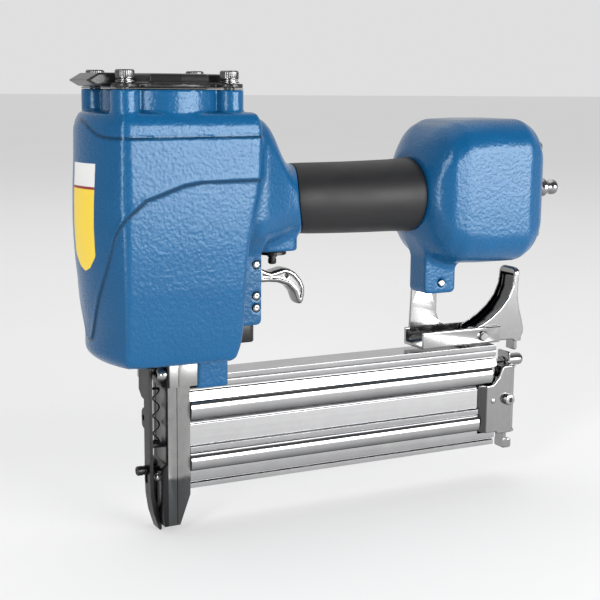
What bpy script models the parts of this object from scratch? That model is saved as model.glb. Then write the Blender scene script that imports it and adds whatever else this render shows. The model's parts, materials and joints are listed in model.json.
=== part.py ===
"""Pneumatic brad nailer: cast body, air motor, trigger, safety, nose and sliding magazine.

Lengths below are millimetres in the tool's own layout: X runs from the nose side to the air plug,
Y across the tool, Z up, with X = Y = 0 on the driver's axis and Z = 0 at the nose tip.
Everything is parented to one empty that carries the layout into the model frame in metres, whose
origin lies under the middle of the tool at the height of the contact foot's tip.
"""
import math

import bmesh
import bpy
from mathutils import Matrix, Vector

MM = 0.001
GAP = 0.3                     # clearance left between pieces that touch

# overall reaches
FRONT_REACH = -48.5           # foremost face of the cast head
REAR_REACH = 265.6            # end of the air plug
FOOT_DROP = 3.6               # how far the contact foot stands below the nose tip
FRAME_OFFSET = (-(FRONT_REACH + REAR_REACH) / 2, 0.0, FOOT_DROP)

# head and cylinder
HEAD_BOTTOM = 95.0
LEDGE_Z = 228.5
RING_TOP = 240.0
BORE_R = 24.0
BORE_FLOOR = 100.0
SIDE_TAPER = 0.03             # how much each side of the head widens per length
HEAD_REAR_R = 9.0
FRONT_CORNER = 32.8           # how far forward the two upright front corners stand
FLATTEST_BOW = 0.6            # least bow of the front between them, at the chin
BOLT_HALF_X = 28.95
BOLT_HALF_Y = 23.5
BOSS_R = 7.5
RING_R = 32.0
CYLINDER_TOP = 221.0
CYLINDER_OUT_R = 22.0
CYLINDER_IN_R = 19.0
PISTON_TOP = 214.0
PISTON_H = 14.0
BLADE_BOTTOM = 79.0
STROKE = 76.0

# handle and rear chamber
GRIP_Z = 179.2
GRIP_TUBE_R = 17.0
AIR_R = 12.0
SLEEVE_FRONT = 80.6
SLEEVE_REAR = 156.5
SLEEVE_TILT = 0.18            # forward lean of the sleeve's front edge
CHAMBER_Z = 181.0
CHAMBER_H = 43.0
CHAMBER_W = 34.5
CHAMBER_REAR = 237.0

# trigger group
PIN_X = 47.8
TRIGGER_PIN_Z = 145.2
GUIDE_PIN_Z = (127.7, 121.0)
PIN_R = 2.2
CHEEK_IN = 8.0
CHEEK_OUT = 18.0
STEM_X = 66.2
STEM_BOTTOM = 142.3
BOSS_BOTTOM = 150.6

# nose
NOSE_FRONT = -2.6
NOSE_SEAM = 3.0
NOSE_REAR = 10.8
NOSE_HALF = 11.0
FLANGE_HALF = 14.0
FLANGE_Z = 79.6
NOSE_SCREW = (9.0, 86.5)      # across the tool and height
GUIDE_SCREW = (1.4, 30.4)     # across the tool and height
FOOT_FACE = -10.6             # front of the contact foot's plate
FOOT_BACK = -8.6
FOOT_TRAVEL = 5.5
LINK_Z = (86.0, 89.1)         # flat run of the safety link over the magazine
BLOCK_X = (14.3, 32.6)
BLOCK_BOTTOM = 77.6

# magazine
MAG_FRONT = 11.1
MAG_REAR = 218.0
MAG_TOP = 85.4
MAG_BOTTOM = 16.6
CHANNEL_HALF = 5.6
CHANNEL_Z = (20.0, 77.4)
POCKET_X = 205.0
POCKET_Z = (28.0, 59.0)

# bracket and latch
BRACKET_X = (163.0, 219.5)
BRACKET_HALF = 11.0
SHEET = 1.8
BRACKET_TOP = 96.0
LUG_X = (162.5, 185.5)
LUG_BOTTOM = 119.6
LUG_HALF = 8.9
LUG_SCREW = (176.0, 125.6)
LATCH_PIVOT = (207.1, 90.4)
LATCH_HALF = 8.4

COLOURS = {
    "blue_paint": ((0.018, 0.105, 0.300), 0.32, 0.0),
    "black_paint": ((0.012, 0.012, 0.013), 0.30, 0.0),
    "black_steel": ((0.030, 0.030, 0.032), 0.40, 0.6),
    "rubber": ((0.020, 0.020, 0.021), 0.62, 0.0),
    "seal": ((0.014, 0.014, 0.014), 0.50, 0.0),
    "gasket": ((0.10, 0.10, 0.095), 0.85, 0.0),
    "urethane": ((0.45, 0.30, 0.08), 0.45, 0.0),
    "aluminium": ((0.72, 0.72, 0.73), 0.25, 1.0),
    "machined": ((0.66, 0.67, 0.68), 0.22, 1.0),
    "sheet_steel": ((0.68, 0.68, 0.69), 0.24, 1.0),
    "cast_steel": ((0.36, 0.36, 0.37), 0.42, 0.9),
    "chrome": ((0.80, 0.80, 0.81), 0.10, 1.0),
    "zinc": ((0.62, 0.62, 0.63), 0.28, 1.0),
    "spring_steel": ((0.50, 0.50, 0.51), 0.30, 1.0),
}


# ---------------------------------------------------------------- helpers

def clear_scene():
    for obj in list(bpy.data.objects):
        bpy.data.objects.remove(obj, do_unlink=True)


def make_material(name, colour):
    base, roughness, metallic = COLOURS[colour]
    material = bpy.data.materials.new(name)
    material.use_nodes = True
    shader = material.node_tree.nodes["Principled BSDF"]
    shader.inputs["Base Color"].default_value = (*base, 1.0)
    shader.inputs["Roughness"].default_value = roughness
    shader.inputs["Metallic"].default_value = metallic
    return material


def make_frame():
    empty = bpy.data.objects.new("tool_frame", None)
    empty.location = Vector(FRAME_OFFSET) * MM
    bpy.context.collection.objects.link(empty)
    return empty


def finish_mesh(bm, name, origin):
    bmesh.ops.remove_doubles(bm, verts=bm.verts, dist=0.001)
    bmesh.ops.recalc_face_normals(bm, faces=bm.faces)
    bmesh.ops.translate(bm, verts=bm.verts, vec=-Vector(origin))
    bmesh.ops.scale(bm, verts=bm.verts, vec=(MM, MM, MM))
    mesh = bpy.data.meshes.new(name)
    bm.to_mesh(mesh)
    bm.free()
    return mesh


def make_object(bm, name, colour, origin=(0, 0, 0)):
    """Turns a mesh built in layout millimetres into a named object with its own material."""
    obj = bpy.data.objects.new(name, finish_mesh(bm, name, origin))
    obj.location = Vector(origin) * MM
    obj.parent = FRAME
    bpy.context.collection.objects.link(obj)
    obj.data.materials.append(make_material(name, colour))
    obj.data.shade_smooth()
    obj.data.set_sharp_from_angle(angle=math.radians(32))
    return obj


def make_tool(bm, name, origin=(0, 0, 0)):
    """A hidden solid that a Boolean modifier joins or cuts with."""
    tool = bpy.data.objects.new(name, finish_mesh(bm, name, origin))
    tool.location = Vector(origin) * MM
    tool.parent = FRAME
    tool.hide_render = True
    tool.display_type = 'WIRE'
    bpy.context.collection.objects.link(tool)
    return tool


def combine(obj, bm, name, operation, origin=(0, 0, 0)):
    modifier = obj.modifiers.new(name, 'BOOLEAN')
    modifier.operation = operation
    modifier.solver = 'EXACT'
    modifier.object = make_tool(bm, obj.name + "_" + name, origin)


def join(obj, bm, name):
    combine(obj, bm, name, 'UNION')


def cut(obj, bm, name):
    combine(obj, bm, name, 'DIFFERENCE')


def round_edges(obj, width, segments=2, angle=35):
    bevel = obj.modifiers.new("rounding", 'BEVEL')
    bevel.width = width * MM
    bevel.segments = segments
    bevel.limit_method = 'ANGLE'
    bevel.angle_limit = math.radians(angle)


def prism(outline, low, high, axis):
    """Extrudes a flat outline along axis; (a, b) are the other two axes in X, Y, Z order."""
    spot = {"x": lambda a, b, t: (t, a, b),
            "y": lambda a, b, t: (a, t, b),
            "z": lambda a, b, t: (a, b, t)}[axis]
    bm = bmesh.new()
    face = bm.faces.new([bm.verts.new(spot(a, b, low)) for a, b in outline])
    grown = bmesh.ops.extrude_face_region(bm, geom=[face])["geom"]
    moved = [item for item in grown if isinstance(item, bmesh.types.BMVert)]
    bmesh.ops.translate(bm, verts=moved, vec=Vector(spot(0, 0, high - low)))
    return bm


def box(low, high):
    outline = [(low[0], low[1]), (high[0], low[1]), (high[0], high[1]), (low[0], high[1])]
    return prism(outline, low[2], high[2], "z")


def circle(centre, radius, count, start=0.0):
    step = 2 * math.pi / count
    return [(centre[0] + radius * math.cos(start + i * step),
             centre[1] + radius * math.sin(start + i * step)) for i in range(count)]


def rod(centre, radius, low, high, axis, count=24):
    return prism(circle(centre, radius, count), low, high, axis)


def turned(profile, centre, axis, count=24):
    """Spins a closed (radius, height) profile about an axis through centre."""
    bm = bmesh.new()
    verts = [bm.verts.new((radius, 0, height)) for radius, height in profile]
    edges = [bm.edges.new((verts[i], verts[i - 1])) for i in range(len(verts))]
    bmesh.ops.spin(bm, geom=verts + edges, cent=(0, 0, 0), axis=(0, 0, 1),
                   steps=count, angle=2 * math.pi, use_merge=True)
    bmesh.ops.remove_doubles(bm, verts=bm.verts, dist=0.0005)
    loose = [edge for edge in bm.edges if not edge.link_faces]
    bmesh.ops.delete(bm, geom=loose, context='EDGES')
    turns = {"z": Matrix.Identity(4),
             "x": Matrix.Rotation(math.pi / 2, 4, 'Y'),
             "y": Matrix.Rotation(-math.pi / 2, 4, 'X')}
    bmesh.ops.transform(bm, matrix=Matrix.Translation(Vector(centre)) @ turns[axis],
                        verts=bm.verts)
    return bm


def loft(sections):
    """Bridges a row of loops that have equal numbers of points and caps both ends."""
    bm = bmesh.new()
    rings = []
    for points in sections:
        verts = [bm.verts.new(point) for point in points]
        edges = [bm.edges.new((verts[i], verts[i - 1])) for i in range(len(verts))]
        rings.append((verts, edges))
    for first, second in zip(rings, rings[1:]):
        bmesh.ops.bridge_loops(bm, edges=first[1] + second[1])
    bm.faces.new(rings[0][0])
    bm.faces.new(rings[-1][0])
    return bm


def rounded(low_a, high_a, low_b, high_b, radii, steps=4):
    """Rounded rectangle; radii are for the corners low-low, high-low, high-high, low-high."""
    corners = [(low_a, low_b, 1, 1), (high_a, low_b, -1, 1),
               (high_a, high_b, -1, -1), (low_a, high_b, 1, -1)]
    points = []
    for index, (a, b, side_a, side_b) in enumerate(corners):
        radius = radii[index]
        start = math.pi + index * math.pi / 2
        for step in range(steps + 1):
            angle = start + step * math.pi / 2 / steps
            points.append((a + side_a * radius + radius * math.cos(angle),
                           b + side_b * radius + radius * math.sin(angle)))
    return points


def ring_outline(radius, boss, count=60):
    """Outline of a round flange with four bolt bosses, as the farthest reach at each angle."""
    points = []
    for i in range(count):
        angle = 2 * math.pi * i / count
        reach = radius
        for sx in (-1, 1):
            for sy in (-1, 1):
                cx, cy = sx * BOLT_HALF_X, sy * BOLT_HALF_Y
                along = cx * math.cos(angle) + cy * math.sin(angle)
                across = -cx * math.sin(angle) + cy * math.cos(angle)
                if along > 0 and abs(across) < boss:
                    reach = max(reach, along + math.sqrt(boss * boss - across * across))
        points.append((reach * math.cos(angle), reach * math.sin(angle)))
    return points


# ---------------------------------------------------------------- cast body

def head_section(z, front, rear, half):
    """Plan of the head: a bowed front between two upright corners, and nearly parallel sides."""
    bow = max(front - FRONT_CORNER, FLATTEST_BOW)
    corner = bow - front
    wide = half - SIDE_TAPER * (rear - corner)
    radius = (wide * wide + bow * bow) / (2 * bow)
    sweep = 0.88 * math.asin(wide / radius)
    arc = [(radius - front - radius * math.cos(sweep * k / 5), -radius * math.sin(sweep * k / 5))
           for k in range(-5, 6)]
    start = corner + 4.5
    side = half - SIDE_TAPER * (rear - start)
    back = rounded(rear - 2 * HEAD_REAR_R, rear, -half, half, (HEAD_REAR_R,) * 4)[5:15]
    outline = arc + [(start, -side)] + back + [(start, side)]
    return [(x, y, z) for x, y in outline]


def cast_head():
    return loft([
        head_section(HEAD_BOTTOM, 30.4, 29.6, 29.6),
        head_section(97.5, 32.2, 31.6, 31.8),
        head_section(105.0, 35.6, 34.4, 33.2),
        head_section(115.0, 41.0, 35.6, 34.4),
        head_section(136.0, 45.0, 36.2, 35.8),
        head_section(152.0, 47.6, 37.2, 36.5),
        head_section(170.0, -FRONT_REACH, 40.0, 36.5),
        head_section(190.0, 48.0, 44.0, 36.5),
        head_section(217.0, 47.0, 45.0, 36.3),
        head_section(224.0, 46.2, 44.4, 35.8),
        head_section(LEDGE_Z, 42.4, 41.5, 33.0),
    ])


def grip_section(x, radius, lean, count=24):
    return [(x + lean * b, a, GRIP_Z + b) for a, b in circle((0, 0), radius, count)]


def neck_section(x, half, low, high, radius, lean):
    outline = rounded(-half, half, low, high, (radius,) * 4, 5)
    return [(x + lean * (b - GRIP_Z), a, b) for a, b in outline]


def cast_neck():
    """Tall shoulder that narrows from the head to the front edge of the grip sleeve."""
    end = SLEEVE_FRONT - GAP
    return loft([
        neck_section(26.0, 33.0, 151.0, 226.5, 22.0, 0.0),
        neck_section(48.0, 29.0, 153.0, 226.0, 21.0, 0.0),
        neck_section(56.0, 25.5, 155.0, 224.0, 20.0, 0.0),
        neck_section(62.5, 23.0, 156.0, 215.0, 20.0, -SLEEVE_TILT / 3),
        neck_section(70.0, 20.8, 158.6, 202.5, 19.0, -SLEEVE_TILT / 2),
        neck_section(75.0, 20.0, GRIP_Z - 20, GRIP_Z + 20.2, 19.0, -SLEEVE_TILT),
        neck_section(end, 19.8, GRIP_Z - 19.8, GRIP_Z + 19.8, 19.7, -SLEEVE_TILT),
    ])


def chamber_section(x, half, height, radius):
    outline = rounded(-half, half, CHAMBER_Z - height, CHAMBER_Z + height, (radius,) * 4, 5)
    return [(x, a, b) for a, b in outline]


def cast_chamber():
    return loft([
        chamber_section(SLEEVE_REAR + GAP, 23.0, 24.0, 22.0),
        chamber_section(161.0, 28.0, 31.5, 24.0),
        chamber_section(168.0, 32.2, 38.5, 22.0),
        chamber_section(178.0, CHAMBER_W, 42.4, 20.0),
        chamber_section(196.0, CHAMBER_W, CHAMBER_H, 19.0),
        chamber_section(222.0, CHAMBER_W, CHAMBER_H, 19.0),
        chamber_section(231.0, 31.0, 39.5, 19.0),
        chamber_section(CHAMBER_REAR, 25.5, 34.0, 18.0),
    ])


def cheek_outline():
    return [(30.0, 111.2), (47.5, 111.2), (51.2, 114.6), (51.2, 160.0), (46.0, 166.0), (30.0, 150.0)]


def gun_body():
    body = make_object(cast_head(), "gun_body", "blue_paint")
    join(body, prism(ring_outline(RING_R, BOSS_R), LEDGE_Z - 2, RING_TOP, "z"), "flange")
    join(body, cast_neck(), "neck")
    join(body, rod((0, GRIP_Z), GRIP_TUBE_R, 60, 175, "x", 20), "tube")
    join(body, cast_chamber(), "chamber")
    join(body, prism(rounded(53, 78.2, -12, 12, (4, 7, 7, 4)), BOSS_BOTTOM, 172, "z"), "boss")
    for side, name in ((-1, "near_cheek"), (1, "far_cheek")):
        low, high = sorted((side * CHEEK_IN, side * CHEEK_OUT))
        join(body, prism(cheek_outline(), low, high, "y"), name)
    lug = rounded(LUG_X[0], LUG_X[1], LUG_BOTTOM, 150, (3, 4, 1, 1), 3)
    join(body, prism(lug, -LUG_HALF, LUG_HALF, "y"), "lug")
    block = ((BLOCK_X[0], -FLANGE_HALF, BLOCK_BOTTOM), (BLOCK_X[1], FLANGE_HALF, 98))
    join(body, box(*block), "nose_block")
    cut(body, rod((0, 0), BORE_R, BORE_FLOOR, RING_TOP + 5, "z", 32), "bore")
    cut(body, box((-3.0, -8.5, HEAD_BOTTOM - 5), (3.0, 8.5, BORE_FLOOR + 5)), "driver_slot")
    cut(body, rod((0, GRIP_Z), AIR_R, 10, 185, "x", 16), "air_passage")
    cavity = [(x, a, b) for x in (174.0, 245.0)
              for a, b in rounded(-26, 26, CHAMBER_Z - 33, CHAMBER_Z + 33, (12,) * 4, 3)]
    half = len(cavity) // 2
    cut(body, loft([cavity[:half], cavity[half:]]), "cavity")
    cut(body, rod((STEM_X, 0), 6.6, BOSS_BOTTOM - 5, GRIP_Z, "z", 20), "valve_bore")
    for index, z in enumerate((TRIGGER_PIN_Z, *GUIDE_PIN_Z)):
        cut(body, rod((PIN_X, z), PIN_R + GAP, -25, 25, "y", 16), "pin_hole_%d" % index)
    cut(body, rod(LUG_SCREW, 2.4, -15, 15, "y", 16), "lug_hole")
    for side in (-1, 1):
        place = (side * NOSE_SCREW[0], NOSE_SCREW[1])
        cut(body, rod(place, 2.3, 5, BLOCK_X[1] - 3, "x", 12), "nose_hole_%d" % (side + 1))
    for index, (x, y) in enumerate(bolt_places()):
        cut(body, rod((x, y), 3.3, 222, RING_TOP + 5, "z", 12), "bolt_hole_%d" % index)
    return body


def bolt_places():
    return [(sx * BOLT_HALF_X, sy * BOLT_HALF_Y) for sx in (-1, 1) for sy in (-1, 1)]


# ---------------------------------------------------------------- air motor inside the head

def air_motor():
    low = BORE_FLOOR + GAP
    collar = (160.0, 170.0)
    out, inner, wide = CYLINDER_OUT_R, CYLINDER_IN_R, BORE_R - GAP
    make_object(turned([(inner, low), (out, low), (out, collar[0]), (wide, collar[0]),
                        (wide, collar[1]), (out, collar[1]), (out, CYLINDER_TOP),
                        (inner, CYLINDER_TOP)], (0, 0, 0), "z"), "cylinder", "aluminium")
    make_object(turned([(out + GAP, collar[1] + GAP), (wide, collar[1] + GAP),
                        (wide, collar[1] + 4), (out + GAP, collar[1] + 4)], (0, 0, 0), "z"),
                "cylinder_seal", "seal")
    bumper_top = PISTON_TOP - PISTON_H - STROKE - 0.5
    make_object(turned([(9.5, low), (inner - GAP, low), (inner - GAP, bumper_top - 6),
                        (14.0, bumper_top), (9.5, bumper_top)], (0, 0, 0), "z"),
                "bumper", "urethane")


def piston_group():
    """Piston, its ring and the driver blade that rides under it."""
    top = PISTON_TOP
    foot = PISTON_TOP - PISTON_H
    origin = (0, 0, foot)
    radius = CYLINDER_IN_R - GAP
    groove = (foot + 5.0, foot + 8.0)
    make_object(turned([(0, foot), (radius, foot), (radius, groove[0]), (17.0, groove[0]),
                        (17.0, groove[1]), (radius, groove[1]), (radius, top), (12.0, top),
                        (10.0, top - 3), (0, top - 3)], (0, 0, 0), "z"),
                "piston", "machined", origin)
    make_object(turned([(17.2, groove[0] + 0.2), (18.85, groove[0] + 0.2),
                        (18.85, groove[1] - 0.2), (17.2, groove[1] - 0.2)], (0, 0, 0), "z"),
                "piston_ring", "seal", origin)
    blade = box((-1.0, -6.0, BLADE_BOTTOM), (1.0, 6.0, foot - GAP))
    make_object(blade, "driver_blade", "spring_steel", origin)


def head_valve_group():
    rest = CYLINDER_TOP + GAP
    origin = (0, 0, rest)
    make_object(turned([(0, rest + 2), (14, rest + 2), (16, rest), (22.5, rest), (22.5, rest + 4),
                        (12.5, rest + 5), (12.5, rest + 15.5), (0, rest + 15.5)],
                       (0, 0, 0), "z"), "head_valve", "urethane", origin)
    make_object(turned([(13.2, rest + 5.4), (15.6, rest + 5.4), (15.6, 243.0), (13.2, 243.0)],
                       (0, 0, 0), "z", 20), "head_valve_spring", "spring_steel")


def cylinder_cap():
    """Black cap: a thin bolt flange, a raised deck with a pointed exhaust lip, and a spigot."""
    flange = RING_TOP + 1.0
    cap = make_object(prism(ring_outline(RING_R - 0.6, BOSS_R - 0.3), flange, flange + 2.2, "z"),
                      "cylinder_cap", "black_paint")
    deck = [(-37.0, -15.0), (-22.0, -15.6), (-17.0, -27.0), (0.0, -30.0), (17.0, -27.0),
            (21.5, -16.0), (36.0, -15.0)]
    deck = deck + [(x, -y) for x, y in reversed(deck)]
    join(cap, prism(deck, flange + 1.0, 248.2, "z"), "deck")
    lip = [(-34.0, 241.6), (-41.0, 241.2), (-46.6, 244.4), (-40.0, 248.0), (-34.0, 248.0)]
    join(cap, prism(lip, -15.5, 15.5, "y"), "lip")
    join(cap, rod((0, 0), BORE_R - GAP, 231.0, flange + 1.5, "z", 32), "spigot")
    cut(cap, rod((0, 0), 16.6, 226.0, 243.6, "z", 24), "spring_well")
    for index, (x, y) in enumerate(bolt_places()):
        cut(cap, rod((x, y), 3.4, 236, 252, "z", 12), "hole_%d" % index)
    gasket = make_object(prism(ring_outline(RING_R - 0.3, BOSS_R), RING_TOP + 0.25,
                               RING_TOP + 0.75, "z"), "head_gasket", "gasket")
    cut(gasket, rod((0, 0), BORE_R, 230, 250, "z", 32), "bore")
    for index, (x, y) in enumerate(bolt_places()):
        cut(gasket, rod((x, y), 3.4, 236, 252, "z", 12), "hole_%d" % index)


def cap_screws():
    seat = RING_TOP + 3.5
    for index, (x, y) in enumerate(bolt_places(), 1):
        make_object(turned([(3.3, seat), (5.3, seat), (5.3, seat + 1.6), (3.3, seat + 1.6)],
                           (x, y, 0), "z", 12), "cap_washer_%d" % index, "zinc")
        head = seat + 1.9
        screw = make_object(turned([(0, 224), (2.9, 224), (2.9, head), (5.0, head),
                                    (5.0, 249.6), (4.6, 250.0), (0, 250.0)],
                                   (x, y, 0), "z", 12), "cap_screw_%d" % index, "zinc")
        cut(screw, prism(circle((x, y), 2.9, 6), 247.0, 252.0, "z"), "socket")


# ---------------------------------------------------------------- handle and rear end

def grip_sleeve():
    outer = (20.0, 20.6, 21.2, 22.2)
    inner = GRIP_TUBE_R + GAP
    xs = (SLEEVE_FRONT, 105.0, 135.0, SLEEVE_REAR)
    sleeve = make_object(loft([grip_section(x, r, -SLEEVE_TILT if x == xs[0] else 0.0, 32)
                               for x, r in zip(xs, outer)]), "grip_sleeve", "rubber")
    cut(sleeve, rod((0, GRIP_Z), inner, 60, 175, "x", 32), "bore")


def end_cap():
    """Closes the chamber from behind; four screws hold it on a gasket."""
    rear = CHAMBER_REAR
    shell = rounded(-25.6, 25.6, CHAMBER_Z - 32.6, CHAMBER_Z + 32.6, (11.6,) * 4, 4)
    cap = make_object(prism(shell, rear - 6.0, rear - 1.2, "x"), "end_cap", "blue_paint")
    join(cap, rod((0, CHAMBER_Z - 0.5), 13.0, rear - 3.0, rear + 5.0, "x", 24), "port_boss")
    cut(cap, rod((0, CHAMBER_Z - 0.5), 6.4, rear - 20, rear + 20, "x", 20), "port")
    gasket = make_object(prism(shell, rear - 7.0, rear - 6.3, "x"), "end_cap_gasket", "gasket")
    cut(gasket, prism(rounded(-19, 19, CHAMBER_Z - 25, CHAMBER_Z + 25, (8,) * 4, 3),
                      rear - 20, rear + 20, "x"), "window")
    retainer = make_object(prism(shell, rear - 9.6, rear - 7.3, "x"), "end_cap_seat", "cast_steel")
    cut(retainer, prism(rounded(-19, 19, CHAMBER_Z - 25, CHAMBER_Z + 25, (8,) * 4, 3),
                        rear - 20, rear + 20, "x"), "window")
    places = [(sy * 19.0, CHAMBER_Z + sz * 26.0) for sy in (-1, 1) for sz in (-1, 1)]
    for index, (y, z) in enumerate(places, 1):
        cut(cap, rod((y, z), 1.9, rear - 20, rear + 20, "x", 12), "hole_%d" % index)
        make_object(turned([(0, rear - 6.0), (1.6, rear - 6.0), (1.6, rear - 0.9),
                            (3.4, rear - 0.9), (3.4, rear + 1.4), (0, rear + 2.0)],
                           (0, y, z), "x", 10), "end_cap_screw_%d" % index, "zinc")


def air_plug():
    rear = CHAMBER_REAR
    z = CHAMBER_Z - 0.5
    end = REAR_REACH
    profile = [(2.8, rear - 4), (6.1, rear - 4), (6.1, rear + 5.3), (8.0, rear + 5.3),
               (8.0, rear + 9.5), (5.6, rear + 10.5), (4.9, end - 12.5), (5.8, end - 11.0),
               (5.8, end - 8.6), (3.7, end - 6.6), (3.7, end - 4.0), (4.7, end - 2.6),
               (4.7, end - 0.5), (4.2, end), (2.8, end)]
    make_object(turned(profile, (0, 0, z), "x", 16), "air_plug", "zinc")


# ---------------------------------------------------------------- trigger and valve

def trigger_outline():
    """Side view of the trigger: hub round the pin, straight back, hooked finger tip."""
    hub = [(PIN_X + 4.6 * math.cos(math.radians(a)), TRIGGER_PIN_Z + 4.6 * math.sin(math.radians(a)))
           for a in range(60, 301, 40)]
    lower = [(56.0, 132.2), (68.0, 131.6), (74.0, 129.4), (77.8, 125.4), (79.8, 120.4)]
    tip = [(81.6, 118.2), (83.8, 119.2), (84.8, 122.4)]
    back = [(85.2, 127.8), (83.2, 133.2), (79.0, 137.8), (73.6, 140.8), (67.6, 140.9), (60.0, 141.0)]
    return hub + lower + tip + back


def trigger_group():
    origin = (PIN_X, 0, TRIGGER_PIN_Z)
    trigger = make_object(prism(trigger_outline(), -5.6, 5.6, "y"), "trigger", "chrome", origin)
    cut(trigger, rod((PIN_X, TRIGGER_PIN_Z), PIN_R + 0.05, -15, 15, "y", 20), "pin_bore")
    cut(trigger, rod((73.4, 135.6), 1.3, -15, 15, "y", 12), "small_hole")
    make_object(rod((PIN_X, TRIGGER_PIN_Z), PIN_R, -18.6, 18.6, "y", 20), "trigger_pin", "zinc")
    names = ("upper_guide_pin", "lower_guide_pin")
    for name, z in zip(names, GUIDE_PIN_Z):
        make_object(rod((PIN_X, z), PIN_R, -18.6, 18.6, "y", 20), name, "zinc")
    spring = turned([(2.8, 5.9), (4.4, 5.9), (4.4, 7.6), (2.8, 7.6)],
                    (PIN_X, 0, TRIGGER_PIN_Z), "y", 16)
    make_object(spring, "trigger_spring", "spring_steel")


def trigger_valve():
    low = BOSS_BOTTOM - 2.6
    make_object(turned([(3.1, low), (8.0, low), (8.0, BOSS_BOTTOM - GAP), (6.3, BOSS_BOTTOM - GAP),
                        (6.3, 166.0), (3.1, 166.0)], (STEM_X, 0, 0), "z", 20),
                "valve_housing", "black_steel")
    make_object(turned([(0, STEM_BOTTOM), (2.2, STEM_BOTTOM), (2.8, STEM_BOTTOM + 1),
                        (2.8, 160.0), (0, 160.0)], (STEM_X, 0, 0), "z", 16),
                "valve_stem", "black_steel", (STEM_X, 0, STEM_BOTTOM))
    make_object(turned([(1.4, 160.3), (2.6, 160.3), (2.6, 172.0), (1.4, 172.0)],
                       (STEM_X, 0, 0), "z", 12), "valve_spring", "spring_steel")


# ---------------------------------------------------------------- nose

def nose_plates():
    front, seam, rear = NOSE_FRONT, NOSE_SEAM - 0.15, NOSE_REAR
    top = HEAD_BOTTOM - GAP
    side = [(front, 34.6), (front - 2.7, 34.0), (front - 2.7, 6.0), (-4.6, 0.0), (seam, 0.0),
            (seam, top), (front, top)]
    plate = make_object(prism(side, -NOSE_HALF, NOSE_HALF, "y"), "nose_front_plate", "cast_steel")
    join(plate, box((front - 0.8, -FLANGE_HALF, FLANGE_Z), (seam, FLANGE_HALF, top)), "flange")
    cut(plate, box((-10, -7.2, 36.0), (front + 0.6, 7.2, 78.0)), "front_recess")
    cut(plate, box((-1.4, -6.4, -5), (seam + 5, 6.4, 120)), "driver_groove")
    cut(plate, box((-12, -5.2, -5), (front - 0.9, 5.2, 40.0)), "foot_groove")
    side = [(seam + GAP, 0.0), (seam + 1.6, 0.0), (rear, 17.0), (rear, top), (seam + GAP, top)]
    plate = make_object(prism(side, -NOSE_HALF, NOSE_HALF, "y"), "nose_rear_plate", "cast_steel")
    join(plate, box((seam + GAP, -FLANGE_HALF, FLANGE_Z), (BLOCK_X[0] - GAP, FLANGE_HALF, top)),
         "flange")
    join(plate, box((1.5, -6.0, 0.0), (seam + 1, 6.0, top)), "tongue")
    cut(plate, box((seam - 5, -2.4, 22.0), (rear + 3, 2.4, 77.5)), "brad_gate")


def nose_screws():
    across, height = NOSE_SCREW
    seat = NOSE_FRONT - 0.8 - GAP
    for index, side in enumerate((-1, 1), 1):
        for name in ("nose_front_plate", "nose_rear_plate"):
            cut(bpy.data.objects[name], rod((side * across, height), 2.3, -20, 40, "x", 12),
                "hole_%d" % index)
        screw = turned([(0, seat - 4.4), (2.2, seat - 4.2), (3.9, seat - 2.4), (3.9, seat),
                        (2.0, seat), (2.0, 26.0), (0, 26.0)], (0, side * across, height), "x", 12)
        make_object(screw, "nose_screw_%d" % index, "zinc")
    groove = NOSE_FRONT - 0.9
    place = (0, *GUIDE_SCREW)
    shank = turned([(0, -16.4), (2.3, -16.4), (2.7, -15.8), (2.7, FOOT_FACE - GAP),
                    (1.5, FOOT_FACE - GAP), (1.5, groove - GAP), (0, groove - GAP)],
                   place, "x", 16)
    make_object(shank, "foot_guide_screw", "black_steel")


# ---------------------------------------------------------------- contact safety

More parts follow.
